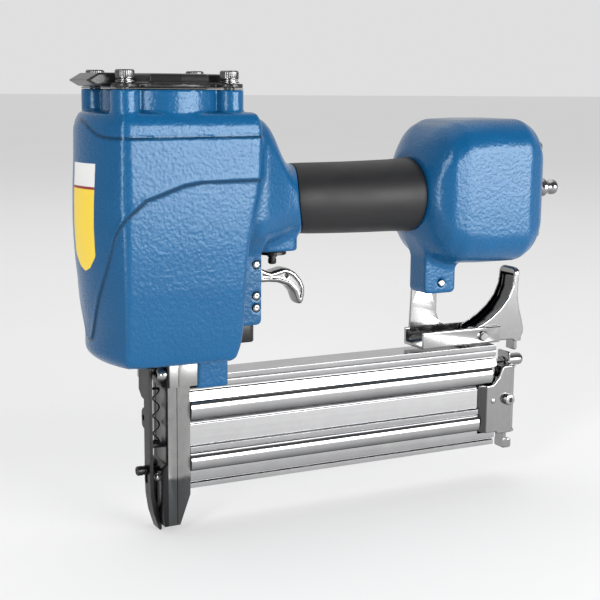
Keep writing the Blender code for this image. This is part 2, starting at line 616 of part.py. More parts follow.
def contact_safety():
    """Foot at the nose tip, link along the far side and leg between the trigger cheeks."""
    origin = (0, 0, -FOOT_DROP)
    side = [(FOOT_FACE, LINK_Z[1]), (FOOT_FACE, 24.0), (-10.2, 16.0), (-8.8, 7.0), (-6.6, 0.0),
            (-5.4, -FOOT_DROP), (-3.9, -FOOT_DROP), (-3.9, 3.0), (-5.6, 8.6), (-7.6, 14.6),
            (FOOT_BACK, 21.0), (FOOT_BACK, LINK_Z[1])]
    foot = make_object(prism(side, -4.2, 4.2, "y"), "contact_foot", "cast_steel", origin)
    join(foot, box((FOOT_FACE, 3.0, 54.6), (FOOT_BACK, 8.0, 64.4)), "lobe")
    ear = [(3.0, 71.0), (8.0, 71.0), (12.2, 74.6), (12.2, LINK_Z[1]), (3.0, LINK_Z[1])]
    join(foot, prism(ear, FOOT_FACE, FOOT_BACK, "x"), "ear")
    join(foot, box((FOOT_FACE + 0.6, -2.6, 43.6), (-2.2, 2.6, 45.8)), "spring_tab")
    cut(foot, rod((5.4, 59.6), 1.7, -14, -5, "x", 16), "hole")
    across, height = GUIDE_SCREW
    slot = rounded(across - 1.9, across + 1.9, height - 2.2 - FOOT_TRAVEL, height + 2.2,
                   (1.8,) * 4, 3)
    cut(foot, prism(slot, -14, -5, "x"), "slot")
    start = FOOT_BACK + GAP
    strip = [(start, 12.4), (start, 14.4), (-5.6, 16.4), (40.0, 16.4), (40.0, 18.2),
             (-6.4, 18.2), (start - 1.9, 15.2), (start - 1.9, 12.4)]
    link = make_object(prism(strip, 81.0, LINK_Z[1], "z"), "safety_link", "spring_steel", origin)
    join(link, box((36.0, 5.2, LINK_Z[0]), (40.0, 18.0, LINK_Z[1])), "crossing")
    join(link, box((36.0, 5.2, LINK_Z[0]), (40.0, 7.6, 101.0)), "riser")
    leg = [(36.2, 99.0), (52.4, 99.0), (52.4, 129.0), (49.4, 132.4), (42.0, 132.4),
           (42.0, 112.0), (36.2, 108.0)]
    leg = make_object(prism(leg, -4.9, 4.9, "y"), "safety_leg", "black_steel", origin)
    low, high = GUIDE_PIN_Z[1] - 2.6 - FOOT_TRAVEL, GUIDE_PIN_Z[0] + 2.6
    slot = rounded(PIN_X - 2.5, PIN_X + 2.5, low, high, (2.2,) * 4, 3)
    cut(leg, prism(slot, -10, 10, "y"), "slot")
    make_object(turned([(1.1, 46.1), (2.3, 46.1), (2.3, 77.4), (1.1, 77.4)], (-5.2, 0, 0),
                       "z", 12), "safety_spring", "spring_steel")


# ---------------------------------------------------------------- magazine

def bulge(middle, low, high, root, proud, steps=5):
    """Rounded bead on the extrusion's side, from its lower edge to its upper edge."""
    points = []
    for step in range(steps + 1):
        angle = -math.pi / 2 + math.pi * step / steps
        height = middle + (high - middle if angle > 0 else middle - low) * math.sin(angle)
        points.append((root + proud * math.cos(angle), height))
    return points


def magazine_half():
    """Side of the extrusion from bottom to top, as half widths and heights."""
    lower = [(9.2, MAG_BOTTOM), (9.6, 19.8), (9.6, 22.6), (8.6, 23.0), (8.6, 24.2), (10.6, 24.4),
             (10.6, 29.6)]
    middle = [(9.6, 40.0), (10.8, 41.2), (10.6, 43.8), (9.2, 44.4), (9.2, 56.4), (8.6, 56.8),
              (8.6, 57.6), (10.0, 58.0)]
    upper = [(11.0, 70.0), (9.6, 75.2), (8.4, 75.6), (8.4, 76.6), (9.6, 77.0), (9.6, 80.2),
             (9.0, 80.6), (9.6, 81.0), (9.6, MAG_TOP)]
    return (lower + bulge(35.0, 30.0, 39.6, 10.2, 2.6) + middle
            + bulge(65.0, 59.4, 70.0, 10.4, 2.4) + upper)


def magazine_body():
    half = magazine_half()
    outline = half + [(-y, z) for y, z in reversed(half)]
    rail = make_object(prism(outline, MAG_FRONT, MAG_REAR, "x"), "magazine_body", "aluminium")
    wall = CHANNEL_HALF
    cut(rail, box((0, -wall, CHANNEL_Z[0]), (250, wall, CHANNEL_Z[1])), "channel")
    cut(rail, box((0, -30, BLOCK_BOTTOM - GAP), (BLOCK_X[1] + GAP, 30, 100)), "block_seat")
    for side, name in ((-1, "near_pocket"), (1, "far_pocket")):
        low, high = sorted((side * 7.4, side * 20))
        cut(rail, box((POCKET_X, low, POCKET_Z[0]), (250, high, POCKET_Z[1])), name)


def magazine_slide():
    """Steel channel that carries the brads, with the end cap that closes the magazine."""
    wall, low, high = CHANNEL_HALF - 0.4, CHANNEL_Z[0] + 0.5, CHANNEL_Z[1] - 0.6
    origin = (MAG_REAR, 0, low)
    thick = 1.2
    outline = [(-wall, low), (wall, low), (wall, high), (wall - thick, high),
               (wall - thick, low + thick), (thick - wall, low + thick), (thick - wall, high),
               (-wall, high)]
    make_object(prism(outline, MAG_FRONT + GAP, MAG_REAR, "x"), "magazine_slide",
                "sheet_steel", origin)
    bottom, top = POCKET_Z[0] - 1.0, 63.0
    half = [(205.4, 8.0), (210.2, 12.6), (229.0, 12.6), (232.4, 9.6)]
    inner = [(230.8, 8.9), (228.4, 11.0), (210.9, 11.0), (207.7, 8.0)]
    outline = ([(x, -y) for x, y in half] + [(x, y) for x, y in reversed(half)]
               + [(x, y) for x, y in reversed(inner)] + [(x, -y) for x, y in inner])
    cap = make_object(prism(outline, bottom + 1.3, POCKET_Z[1] - GAP, "z"),
                      "magazine_end_cap", "zinc", origin)
    shell = [(MAG_REAR + 0.8, bottom), (232.4, bottom), (232.4, top + 7), (MAG_REAR + 4, top + 7),
             (MAG_REAR + 0.8, top)]
    join(cap, prism(shell, -12.6, 12.6, "y"), "shell")
    hollow = box((MAG_REAR - 5, -11.0, bottom + 1.6), (230.8, 11.0, top + 5.4))
    cut(cap, hollow, "hollow")
    join(cap, box((230.8, -6.0, top), (232.4, 6.0, 77.3)), "catch")
    join(cap, box((229.4, -4.2, 14.0), (236.2, 4.2, 20.0)), "tail")
    join(cap, box((229.4, -4.2, 15.0), (232.4, 4.2, bottom + 1)), "tail_web")
    cut(cap, rod((225.8, 48.8), 2.5, -20, 20, "y", 16), "bolt_hole")
    cut(cap, rod((0, 71.0), 2.3, 225, 240, "x", 16), "knob_hole")
    make_object(box((MAG_REAR + 0.6, -10.6, bottom + 2.0), (230.4, 10.6, top + 0.5)),
                "magazine_end_block", "aluminium", origin)
    cut(bpy.data.objects["magazine_end_block"], rod((225.8, 48.8), 2.5, -20, 20, "y", 16), "bore")
    bolt = turned([(0, -16.2), (2.6, -16.2), (3.5, -15.4), (3.5, -12.9), (2.2, -12.9),
                   (2.2, 15.4), (0, 15.4)], (225.8, 0, 48.8), "y", 16)
    make_object(bolt, "magazine_end_bolt", "zinc", origin)
    knob = turned([(0, 230.0), (2.0, 230.0), (2.0, 232.7), (3.9, 232.7), (3.9, 242.8),
                   (3.2, 244.2), (0, 245.0)], (0, 0, 71.0), "x", 20)
    make_object(knob, "magazine_pull_knob", "chrome", origin)


def pusher_group():
    low = CHANNEL_Z[0] + 2.2
    origin = (MAG_FRONT + 1.2, 0, low)
    side = [(origin[0], low), (origin[0] + 20, low), (origin[0] + 20, 40.0),
            (origin[0] + 8, 46.0), (origin[0] + 8, 74.0), (origin[0], 74.0)]
    make_object(prism(side, -3.4, 3.4, "y"), "pusher", "black_steel", origin)
    roll = turned([(2.0, -2.8), (6.4, -2.8), (6.4, 2.8), (2.0, 2.8)],
                  (origin[0] + 15.5, 0, 54.0), "y", 20)
    make_object(roll, "pusher_spring_roll", "spring_steel", origin)


# ---------------------------------------------------------------- bracket and latch

def rear_bracket():
    floor, wall = MAG_TOP + GAP, BRACKET_HALF
    section = [(-wall, floor), (wall, floor), (wall, BRACKET_TOP), (wall - SHEET, BRACKET_TOP),
               (wall - SHEET, floor + SHEET), (SHEET - wall, floor + SHEET),
               (SHEET - wall, BRACKET_TOP), (-wall, BRACKET_TOP)]
    bracket = make_object(prism(section, *BRACKET_X, "x"), "rear_bracket", "sheet_steel")
    leg = [(165.6, 90.0), (167.4, 131.0), (185.0, 131.0), (185.0, 104.0), (187.0, 98.6),
           (191.0, 96.0), (191.0, 90.0)]
    join(bracket, prism(leg, wall - SHEET, wall, "y"), "leg")
    window = wall - SHEET - 0.1
    cut(bracket, box((197.0, -window, 80.0), (225.0, window, 98.0)), "latch_window")
    cut(bracket, rod(LATCH_PIVOT, 3.2, -20, 20, "y", 20), "pivot_hole")
    cut(bracket, rod(LUG_SCREW, 2.4, -20, 20, "y", 16), "screw_hole")
    make_object(turned([(0, -9.9), (1.7, -9.9), (2.1, -9.5), (2.1, 11.4), (1.7, 11.8),
                        (0, 11.8)], (LUG_SCREW[0], 0, LUG_SCREW[1]), "y", 16),
                "bracket_pin", "zinc")


def latch_group():
    """Thumb lever bent from sheet: a curved pad with two side cheeks and a hook."""
    x, z = LATCH_PIVOT
    origin = (x, 0, z)
    pad = [(202.6, 95.6), (208.5, 97.8), (215.0, 101.4), (221.5, 106.4), (227.3, 113.0),
           (230.4, 119.8), (231.4, 126.0), (231.8, 131.0), (233.4, 132.2)]
    back = [(235.6, 130.4), (234.4, 121.0), (234.8, 110.0), (237.4, 99.4), (239.8, 91.4),
            (238.2, 87.6), (237.8, 77.8), (233.0, 77.8), (233.0, 85.9), (215.0, 85.9)]
    hub = [(x + 4.5 * math.cos(math.radians(a)), z + 4.5 * math.sin(math.radians(a)))
           for a in (-80, -110, -145, -175)]
    lever = make_object(prism(pad + back + hub, -LATCH_HALF, LATCH_HALF, "y"),
                        "latch_lever", "chrome", origin)
    inner = LATCH_HALF - 1.6
    hollow = [(196.0, 92.0), (204.0, 94.2), (209.2, 96.2), (216.0, 99.8), (222.6, 105.0),
              (228.6, 112.0), (232.0, 119.0), (245.0, 119.0), (245.0, 89.0), (236.0, 88.0),
              (236.0, 80.0), (196.0, 80.0)]
    cut(lever, prism(hollow, -inner, inner, "y"), "hollow")
    cut(lever, rod(LATCH_PIVOT, 2.95, -15, 15, "y", 20), "pivot_bore")
    for side, name in ((-1, "near_trim"), (1, "far_trim")):
        low, high = sorted((side * 4.6, side * 12))
        cut(lever, box((232.0, low, 70.0), (241.0, high, 84.6)), name)
    make_object(turned([(0, -12.6), (2.4, -12.6), (2.9, -12.2), (2.9, 12.2), (2.4, 12.6),
                        (0, 12.6)], (x, 0, z), "y", 20), "latch_pin", "chrome")
    make_object(turned([(3.1, -3.0), (3.9, -3.0), (3.9, 3.0), (3.1, 3.0)], (x, 0, z), "y", 16),
                "latch_spring", "spring_steel")


# ---------------------------------------------------------------- build

clear_scene()
FRAME = make_frame()
gun_body()
air_motor()
piston_group()
head_valve_group()
cylinder_cap()
cap_screws()
grip_sleeve()
end_cap()
air_plug()
trigger_group()
trigger_valve()
nose_plates()
nose_screws()
contact_safety()
magazine_body()
magazine_slide()
pusher_group()
rear_bracket()
latch_group()
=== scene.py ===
import functools
import json
import math

import bmesh
import bpy
import numpy as np
from mathutils import Matrix, Vector


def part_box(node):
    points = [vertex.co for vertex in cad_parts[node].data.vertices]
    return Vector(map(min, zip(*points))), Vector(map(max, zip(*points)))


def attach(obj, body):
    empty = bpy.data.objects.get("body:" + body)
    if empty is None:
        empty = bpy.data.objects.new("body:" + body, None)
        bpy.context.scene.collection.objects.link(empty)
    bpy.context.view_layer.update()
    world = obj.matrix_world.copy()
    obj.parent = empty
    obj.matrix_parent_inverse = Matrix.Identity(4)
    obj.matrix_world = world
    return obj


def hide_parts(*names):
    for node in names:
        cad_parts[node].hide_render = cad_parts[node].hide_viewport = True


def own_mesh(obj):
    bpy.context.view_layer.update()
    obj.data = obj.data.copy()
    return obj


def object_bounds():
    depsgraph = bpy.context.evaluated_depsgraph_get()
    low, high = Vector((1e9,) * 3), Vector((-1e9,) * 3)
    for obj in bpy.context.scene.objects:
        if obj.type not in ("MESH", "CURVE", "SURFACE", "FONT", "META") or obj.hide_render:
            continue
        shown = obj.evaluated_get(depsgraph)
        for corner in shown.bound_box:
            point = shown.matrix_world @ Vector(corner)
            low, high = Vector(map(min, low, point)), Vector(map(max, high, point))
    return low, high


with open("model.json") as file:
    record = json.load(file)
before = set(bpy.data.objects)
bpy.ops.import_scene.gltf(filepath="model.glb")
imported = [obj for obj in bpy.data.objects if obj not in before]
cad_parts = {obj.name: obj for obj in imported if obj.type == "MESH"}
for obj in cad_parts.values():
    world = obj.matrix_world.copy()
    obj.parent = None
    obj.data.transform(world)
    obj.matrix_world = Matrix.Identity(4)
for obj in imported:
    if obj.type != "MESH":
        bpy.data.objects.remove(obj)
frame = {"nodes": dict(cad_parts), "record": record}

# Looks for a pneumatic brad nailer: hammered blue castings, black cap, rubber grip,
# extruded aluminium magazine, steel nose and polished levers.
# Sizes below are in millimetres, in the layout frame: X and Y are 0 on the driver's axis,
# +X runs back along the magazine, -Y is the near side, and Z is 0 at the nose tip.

CAD_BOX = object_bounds()
SCENE = bpy.context.scene

MM = 0.001
MARK = "painted_shade_mark"                 # mesh attribute of painted shade that darkens a finish
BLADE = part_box("driver_blade")
ORIGIN = Vector(((BLADE[0][0] + BLADE[1][0]) / 2, 0.0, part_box("nose_front_plate")[0][2]))


def span(node):
    """Lowest and highest corner of a CAD node in layout millimetres."""
    low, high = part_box(node)
    return tuple(tuple((corner[i] - ORIGIN[i]) / MM for i in range(3)) for corner in (low, high))


def centre_of(node):
    """Middle of a CAD node's box in layout millimetres."""
    return [(a + b) / 2 for a, b in zip(*span(node))]


# ---------------------------------------------------------------- driving dimensions

GRIP_Z = 179.2                  # axis of the handle
CHAMBER_Z = 181.0               # middle of the rear chamber
BOLT_X, BOLT_Y = 28.95, 23.5
BOSS_R = 7.5
RING_R = 32.0
PIN_X = 47.8
PIN_HEIGHTS = (145.2, 127.7, 121.0)
NOSE_SCREW = (9.0, 86.5)        # how far out and how high the nose plates' screws sit
NOSE_HALF = 11.0                # half width of the nose plates
FLANGE_FOOT = (-14.0, 79.6)     # near edge and underside of the nose plates' flange
STUD_Z = 27.0                   # height of the stud in the nose
FOOT_FACE, FOOT_BACK = -10.6, -8.6
LUG_HOLE = (176.0, 125.6)
LATCH_PIVOT = (207.1, 90.4)
CAP_BOLT = (225.8, 48.8)
KNOB_Z = 71.0
HEAD_BOTTOM = 95.0
LEDGE_Z = 228.5
RING_TOP = span("gun_body")[1][2]
MAG_LOW, MAG_HIGH = span("magazine_body")
SLEEVE_LOW, SLEEVE_HIGH = span("grip_sleeve")
PLUG_END = span("air_plug")[1][0]
CAP_TOP = span("cylinder_cap")[1][2]
SCREW_TOP = span("cap_screw_1")[1][2]


# ---------------------------------------------------------------- mesh helpers

def collect(bm, name, body, material, replaced=(), sharp=35):
    """Turns layout millimetres into an object in the frame that rides on a body."""
    bmesh.ops.recalc_face_normals(bm, faces=bm.faces)
    bm.transform(Matrix.Translation(ORIGIN) @ Matrix.Scale(MM, 4))
    mesh = bpy.data.meshes.new(name)
    bm.to_mesh(mesh)
    bm.free()
    mesh.shade_smooth()
    mesh.set_sharp_from_angle(angle=math.radians(sharp))
    obj = bpy.data.objects.new(name, mesh)
    SCENE.collection.objects.link(obj)
    mesh.materials.append(material)
    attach(obj, body)
    for node in replaced:
        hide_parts(node)
    return obj


def merged(*meshes):
    """One bmesh that holds several separate closed shapes."""
    whole = bmesh.new()
    for bm in meshes:
        spare = bpy.data.meshes.new("spare")
        bm.to_mesh(spare)
        bm.free()
        whole.from_mesh(spare)
        bpy.data.meshes.remove(spare)
    return whole


def spare_object(bm):
    """A passing object that holds a bmesh while a modifier works on it."""
    mesh = bpy.data.meshes.new("spare")
    bm.to_mesh(mesh)
    bm.free()
    obj = bpy.data.objects.new("spare", mesh)
    SCENE.collection.objects.link(obj)
    return obj


def evaluated(*objects):
    """The first object's mesh with its modifiers; all the objects are then removed."""
    result = bmesh.new()
    result.from_object(objects[0], bpy.context.evaluated_depsgraph_get())
    for obj in objects:
        mesh = obj.data
        bpy.data.objects.remove(obj)
        bpy.data.meshes.remove(mesh)
    return result


def carve(bm, other, operation="DIFFERENCE"):
    """Boolean of two closed bmeshes, in millimetres."""
    for part in (bm, other):
        bmesh.ops.recalc_face_normals(part, faces=part.faces)
    base, tool = spare_object(bm), spare_object(other)
    step = base.modifiers.new("boolean", "BOOLEAN")
    step.operation = operation
    step.object = tool
    return evaluated(base, tool)


def unite(*parts):
    whole = parts[0]
    for part in parts[1:]:
        whole = carve(whole, part, "UNION")
    return whole


def ease(bm, width, segments=2, angle=32):
    """Rounds the sharp edges of a bmesh a little, as machining and tumbling leave them."""
    obj = spare_object(bm)
    step = obj.modifiers.new("bevel", "BEVEL")
    step.width = width
    step.segments = segments
    step.limit_method = "ANGLE"
    step.angle_limit = math.radians(angle)
    step.miter_outer = "MITER_ARC"
    return evaluated(obj)


def oriented(axis, a, b, h):
    """A point with section coordinates a, b at height h along an axis."""
    if axis == "x":
        return (h, a, b)
    if axis == "y":
        return (a, h, b)
    return (a, b, h)


def prism(outline, low, high, axis):
    """Outline pushed from low to high along an axis."""
    return lofted([[oriented(axis, a, b, h) for a, b in outline] for h in (low, high)])


def box(low, high):
    outline = [(low[0], low[1]), (high[0], low[1]), (high[0], high[1]), (low[0], high[1])]
    return prism(outline, low[2], high[2], "z")


def circle(centre, radius, count=40, start=0.0):
    return [(centre[0] + radius * math.cos(start + 2 * math.pi * i / count),
             centre[1] + radius * math.sin(start + 2 * math.pi * i / count))
            for i in range(count)]


def rod(centre, radius, low, high, axis, count=40):
    return prism(circle(centre, radius, count), low, high, axis)


def softened(outline, radius, steps=4):
    """The outline with each corner replaced by an arc that its neighbours leave room for."""
    points = []
    count = len(outline)
    for i in range(count):
        before, here, after = (Vector(outline[(i + k) % count]) for k in (-1, 0, 1))
        back, ahead = before - here, after - here
        if back.length < 1e-6 or ahead.length < 1e-6:
            continue
        half = back.angle(ahead) / 2
        if half > math.radians(84):
            points.append(tuple(here))
            continue
        reach = min(radius / math.tan(half), 0.45 * back.length, 0.45 * ahead.length)
        start, end = here + back.normalized() * reach, here + ahead.normalized() * reach
        for k in range(steps + 1):
            t = k / steps
            points.append(tuple(start * (1 - t) ** 2 + here * (2 * t * (1 - t)) + end * t * t))
    return points


def turned(profile, centre, axis, count=48):
    """Solid of revolution from (radius, height) points; it is closed on its axis or as a ring."""
    bm = bmesh.new()
    rings = []
    for radius, height in profile:
        if radius < 1e-6:
            ring = [bm.verts.new(oriented(axis, 0, 0, height))]
        else:
            ring = [bm.verts.new(oriented(axis, a, b, height))
                    for a, b in circle((0, 0), radius, count)]
        rings.append(ring)
    closed = profile[0][0] > 1e-6
    pairs = list(zip(rings, rings[1:])) + ([(rings[-1], rings[0])] if closed else [])
    for one, two in pairs:
        for i in range(count):
            j = (i + 1) % count
            corners = [one[i % len(one)], one[j % len(one)], two[j % len(two)], two[i % len(two)]]
            unique = list(dict.fromkeys(corners))
            if len(unique) > 2:
                bm.faces.new(unique)
    bmesh.ops.translate(bm, verts=bm.verts, vec=centre)
    return bm


def lofted(sections):
    """Solid skinned over a row of equal rings of points."""
    bm = bmesh.new()
    rings = [[bm.verts.new(point) for point in section] for section in sections]
    for one, two in zip(rings, rings[1:]):
        for i in range(len(one)):
            j = (i + 1) % len(one)
            bm.faces.new((one[i], one[j], two[j], two[i]))
    bm.faces.new(rings[0])
    bm.faces.new(rings[-1])
    return bm


# ---------------------------------------------------------------- distance fields
# A field is negative inside a shape. Castings and formed levers are built from them,
# because their fillets run into each other.

def rect(u, v, half_u, half_v, radius):
    qu = np.abs(u) - half_u + radius
    qv = np.abs(v) - half_v + radius
    outside = np.hypot(np.maximum(qu, 0), np.maximum(qv, 0))
    return outside + np.minimum(np.maximum(qu, qv), 0) - radius


def both(a, b, radius):
    """Intersection with a rounded edge."""
    corner = np.hypot(np.maximum(a + radius, 0), np.maximum(b + radius, 0))
    return np.minimum(-radius, np.maximum(a, b)) + corner


def either(a, b, radius):
    """Union with a fillet."""
    corner = np.hypot(np.maximum(radius - a, 0), np.maximum(radius - b, 0))
    return np.maximum(radius, np.minimum(a, b)) - corner


def without(a, b, radius):
    return both(a, -b, radius)


def most(*fields):
    """Intersection of several fields with plain edges."""
    return functools.reduce(np.maximum, fields)


def slab(h, low, high):
    return np.abs(h - (low + high) / 2) - (high - low) / 2


def blended(h, knots, values, soften):
    """Value along an axis, read from a few stations and eased where its slope changes."""
    offsets = np.linspace(-1, 1, 7) * soften
    return sum(np.interp(h + offset, knots, values) for offset in offsets) / len(offsets)


def polygon(u, v, points):
    """Distance to the outline of a polygon, negative inside."""
    shape = np.broadcast_shapes(np.shape(u), np.shape(v))
    best = np.full(shape, 1e9)
    inside = np.zeros(shape, bool)
    count = len(points)
    for i in range(count):
        (ua, va), (ub, vb) = points[i], points[(i + 1) % count]
        eu, ev = ub - ua, vb - va
        t = np.clip(((u - ua) * eu + (v - va) * ev) / (eu * eu + ev * ev), 0, 1)
        best = np.minimum(best, np.hypot(u - ua - t * eu, v - va - t * ev))
        if va != vb:
            crosses = (v < va) != (v < vb)
            inside ^= crosses & (u < ua + (v - va) * eu / ev)
    return np.where(inside, -best, best)


def smooth_step(x):
    t = np.clip(x, 0, 1)
    return t * t * (3 - 2 * t)


def slope(field, points, reach=0.05):
    columns = []
    for axis in range(3):
        shift = np.zeros(3)
        shift[axis] = reach
        ahead, behind = points + shift, points - shift
        columns.append((field(*ahead.T) - field(*behind.T)) / (2 * reach))
    return np.stack(columns, axis=1)


def skin(field, low, high, step):
    """Closed quad mesh of a field's zero surface: surface nets, then pulled onto the field."""
    lines = [np.arange(a - 2 * step, b + 3 * step, step) for a, b in zip(low, high)]
    values = field(*np.meshgrid(*lines, indexing="ij", sparse=True))
    values = np.broadcast_to(values, [len(line) for line in lines])
    cells = [size - 1 for size in values.shape]
    total = np.zeros((cells[0] * cells[1] * cells[2], 3))
    hits = np.zeros(len(total))
    faces = []
    for axis in range(3):
        start = np.take(values, range(values.shape[axis] - 1), axis)
        end = np.take(values, range(1, values.shape[axis]), axis)
        edges = np.argwhere((start < 0) != (end < 0))
        a, b = start[tuple(edges.T)], end[tuple(edges.T)]
        place = edges.astype(float)
        place[:, axis] += a / (a - b)
        second, third = (axis + 1) % 3, (axis + 2) % 3
        corners = []
        for back, side in ((1, 1), (0, 1), (0, 0), (1, 0)):
            cell = edges.copy()
            cell[:, second] -= back
            cell[:, third] -= side
            index = np.ravel_multi_index(cell.T, cells)
            corners.append(index)
            for k in range(3):
                total[:, k] += np.bincount(index, place[:, k], len(total))
            hits += np.bincount(index, minlength=len(total))
        quads = np.stack(corners, axis=1)
        quads[a >= 0] = quads[a >= 0][:, ::-1]
        faces.append(quads)
    used = np.flatnonzero(hits)
    number = np.full(len(total), -1)
    number[used] = np.arange(len(used))
    points = total[used] / hits[used][:, None] * step + [line[0] for line in lines]
    for _ in range(3):
        grade = slope(field, points)
        away = field(*points.T) / np.maximum((grade ** 2).sum(axis=1), 0.2)
        points -= np.clip(away, -0.4 * step, 0.4 * step)[:, None] * grade
    bm_mesh = bpy.data.meshes.new("skin")
    bm_mesh.from_pydata(points.tolist(), [], number[np.concatenate(faces)].tolist())
    bm = bmesh.new()
    bm.from_mesh(bm_mesh)
    bpy.data.meshes.remove(bm_mesh)
    return bm


def marked(bm, rule):
    """Writes how much painted shade each point of the mesh gets, from 0 to 1, for the materials to
    read.
    """
    layer = bm.verts.layers.float.new(MARK)
    places = np.array([vert.co[:] for vert in bm.verts])
    for vert, amount in zip(bm.verts, rule(*places.T)):
        vert[layer] = float(amount)
    return bm


# ---------------------------------------------------------------- materials

def noise(tree, place, scale, detail=2.0, roughness=0.5, stretch=None):
    """Noise of so many grains per metre, optionally drawn out along an axis."""
    node = tree.nodes.new("ShaderNodeTexNoise")
    node.inputs["Scale"].default_value = scale
    node.inputs["Detail"].default_value = detail
    node.inputs["Roughness"].default_value = roughness
    if stretch:
        mapping = tree.nodes.new("ShaderNodeMapping")
        mapping.inputs["Scale"].default_value = stretch
        tree.links.new(place, mapping.inputs["Vector"])
        place = mapping.outputs["Vector"]
    tree.links.new(place, node.inputs["Vector"])
    return node.outputs["Fac"]


def remap(tree, value, low, high, to_low, to_high):
    node = tree.nodes.new("ShaderNodeMapRange")
    for name, number in (("From Min", low), ("From Max", high),
                         ("To Min", to_low), ("To Max", to_high)):
        node.inputs[name].default_value = number
    tree.links.new(value, node.inputs["Value"])
    return node.outputs["Result"]


def mixed(tree, factor, one, two):
    node = tree.nodes.new("ShaderNodeMix")
    node.data_type = "RGBA"
    tree.links.new(factor, node.inputs["Factor"])
    for socket, colour in ((node.inputs["A"], one), (node.inputs["B"], two)):
        if isinstance(colour, tuple):
            socket.default_value = (*colour, 1.0)
        else:
            tree.links.new(colour, socket)
    return node.outputs["Result"]


def bump(tree, height, depth, normal=None):
    """Relief of so many millimetres."""
    node = tree.nodes.new("ShaderNodeBump")
    node.inputs["Strength"].default_value = 1.0
    node.inputs["Distance"].default_value = depth * MM
    tree.links.new(height, node.inputs["Height"])
    if normal:
        tree.links.new(normal, node.inputs["Normal"])
    return node.outputs["Normal"]


def start_material(name, metallic=0.0):
    material = bpy.data.materials.new(name)
    material.use_nodes = True
    tree = material.node_tree
    shader = tree.nodes["Principled BSDF"]
    shader.inputs["Metallic"].default_value = metallic
    place = tree.nodes.new("ShaderNodeTexCoord").outputs["Object"]
    return material, tree, shader, place


def finish(tree, shader, colour, rough, relief):
    """Joins the three layers of a finish to its shader."""
    for source, socket in ((colour, "Base Color"), (rough, "Roughness"), (relief, "Normal")):
        tree.links.new(source, shader.inputs[socket])


def painted_shade_of(tree):
    """How much painted shade the mesh marks at each point, from marked()."""
    node = tree.nodes.new("ShaderNodeAttribute")
    node.attribute_name = MARK
    return node.outputs["Fac"]


def painted(name, dark, light, coat, grain, depth, rough, tint=(1.0, 1.0, 1.0, 1.0)):
    """Sprayed paint that has drawn up into small beads over a cast surface."""
    material, tree, shader, place = start_material(name)
    beads = tree.nodes.new("ShaderNodeTexVoronoi")
    beads.feature = "SMOOTH_F1"
    beads.inputs["Scale"].default_value = grain
    beads.inputs["Smoothness"].default_value = 1.0
    warp = tree.nodes.new("ShaderNodeVectorMath")
    warp.operation = "MULTIPLY_ADD"
    wander = tree.nodes.new("ShaderNodeTexNoise")
    wander.inputs["Scale"].default_value = grain * 0.6
    tree.links.new(place, wander.inputs["Vector"])
    tree.links.new(wander.outputs["Color"], warp.inputs[0])
    warp.inputs[1].default_value = (0.9 / grain,) * 3
    tree.links.new(place, warp.inputs[2])
    tree.links.new(warp.outputs["Vector"], beads.inputs["Vector"])
    patches = noise(tree, place, grain * 0.12, 3.0)
    # Painted shade: where the mesh marks creases, a darker copy of the paint is mixed in.
    shade = tuple(0.30 * value for value in dark)
    colour = mixed(tree, painted_shade_of(tree), mixed(tree, patches, dark, light), shade)
    fine = noise(tree, place, grain * 3.2, 2.0)
    relief = bump(tree, beads.outputs["Distance"], depth)
    relief = bump(tree, noise(tree, place, grain * 0.5, 2.0), depth * 0.7, relief)
    relief = bump(tree, fine, depth * 0.10, relief)
    finish(tree, shader, colour, remap(tree, fine, 0.3, 0.7, rough - 0.05, rough + 0.07), relief)
    shader.inputs["Specular IOR Level"].default_value = 0.40
    shader.inputs["Specular Tint"].default_value = tint
    shader.inputs["Coat Weight"].default_value = coat
    shader.inputs["Coat Roughness"].default_value = 0.12
    return material


def metal(name, dark, light, rough, grain=900.0, stretch=(1.0, 1.0, 1.0), depth=0.004,
          spread=0.07, anisotropy=0.0, underside_shade=1.0):
    """Bare or plated metal: grain drawn out along one direction, with faint stains and painted shade on
    its downward faces and marked places.
    """
    material, tree, shader, place = start_material(name, 1.0)
    lines = noise(tree, place, grain, 3.0, 0.6, stretch)
    stains = noise(tree, place, 55.0, 4.0, 0.6)
    blend = tree.nodes.new("ShaderNodeMath")
    blend.operation = "MULTIPLY_ADD"
    tree.links.new(lines, blend.inputs[0])
    blend.inputs[1].default_value = 0.55
    tree.links.new(remap(tree, stains, 0.3, 0.7, 0.0, 0.45), blend.inputs[2])
    colour = mixed(tree, blend.outputs["Value"], dark, light)
    uneven = remap(tree, blend.outputs["Value"], 0.2, 0.8, rough + spread, rough - spread / 2)
    finish(tree, shader, add_painted_shade(tree, colour, underside_shade), uneven, bump(tree, lines, depth))
    shader.inputs["Anisotropic"].default_value = anisotropy
    return material


def add_painted_shade(tree, colour, underside_shade):
    """Painted shade darkens the downward faces, and the places that the mesh marks."""
    facing = coordinate(tree, tree.nodes.new("ShaderNodeNewGeometry").outputs["Normal"], "Z")
    below = remap(tree, facing, -0.10, -0.75, 0.0, underside_shade)
    colour = mixed(tree, below, colour, (0.035, 0.035, 0.037))
    return mixed(tree, painted_shade_of(tree), colour, (0.012, 0.012, 0.013))


def moulded(name, dark, light, rough, grain, depth):
    """Rubber, plastic or fibre: a fine even texture with faint bloom."""
    material, tree, shader, place = start_material(name)
    shader.inputs["Specular IOR Level"].default_value = 0.30
    fine = noise(tree, place, grain, 3.0, 0.65)
    bloom = noise(tree, place, 38.0, 4.0, 0.6)
    uneven = remap(tree, bloom, 0.3, 0.7, rough - 0.06, rough + 0.08)
    finish(tree, shader, mixed(tree, bloom, dark, light), uneven, bump(tree, fine, depth))
    return material


def coordinate(tree, place, axis):
    """One coordinate of a place, in metres in the frame."""
    split = tree.nodes.new("ShaderNodeSeparateXYZ")
    tree.links.new(place, split.inputs["Vector"])
    return split.outputs[axis]


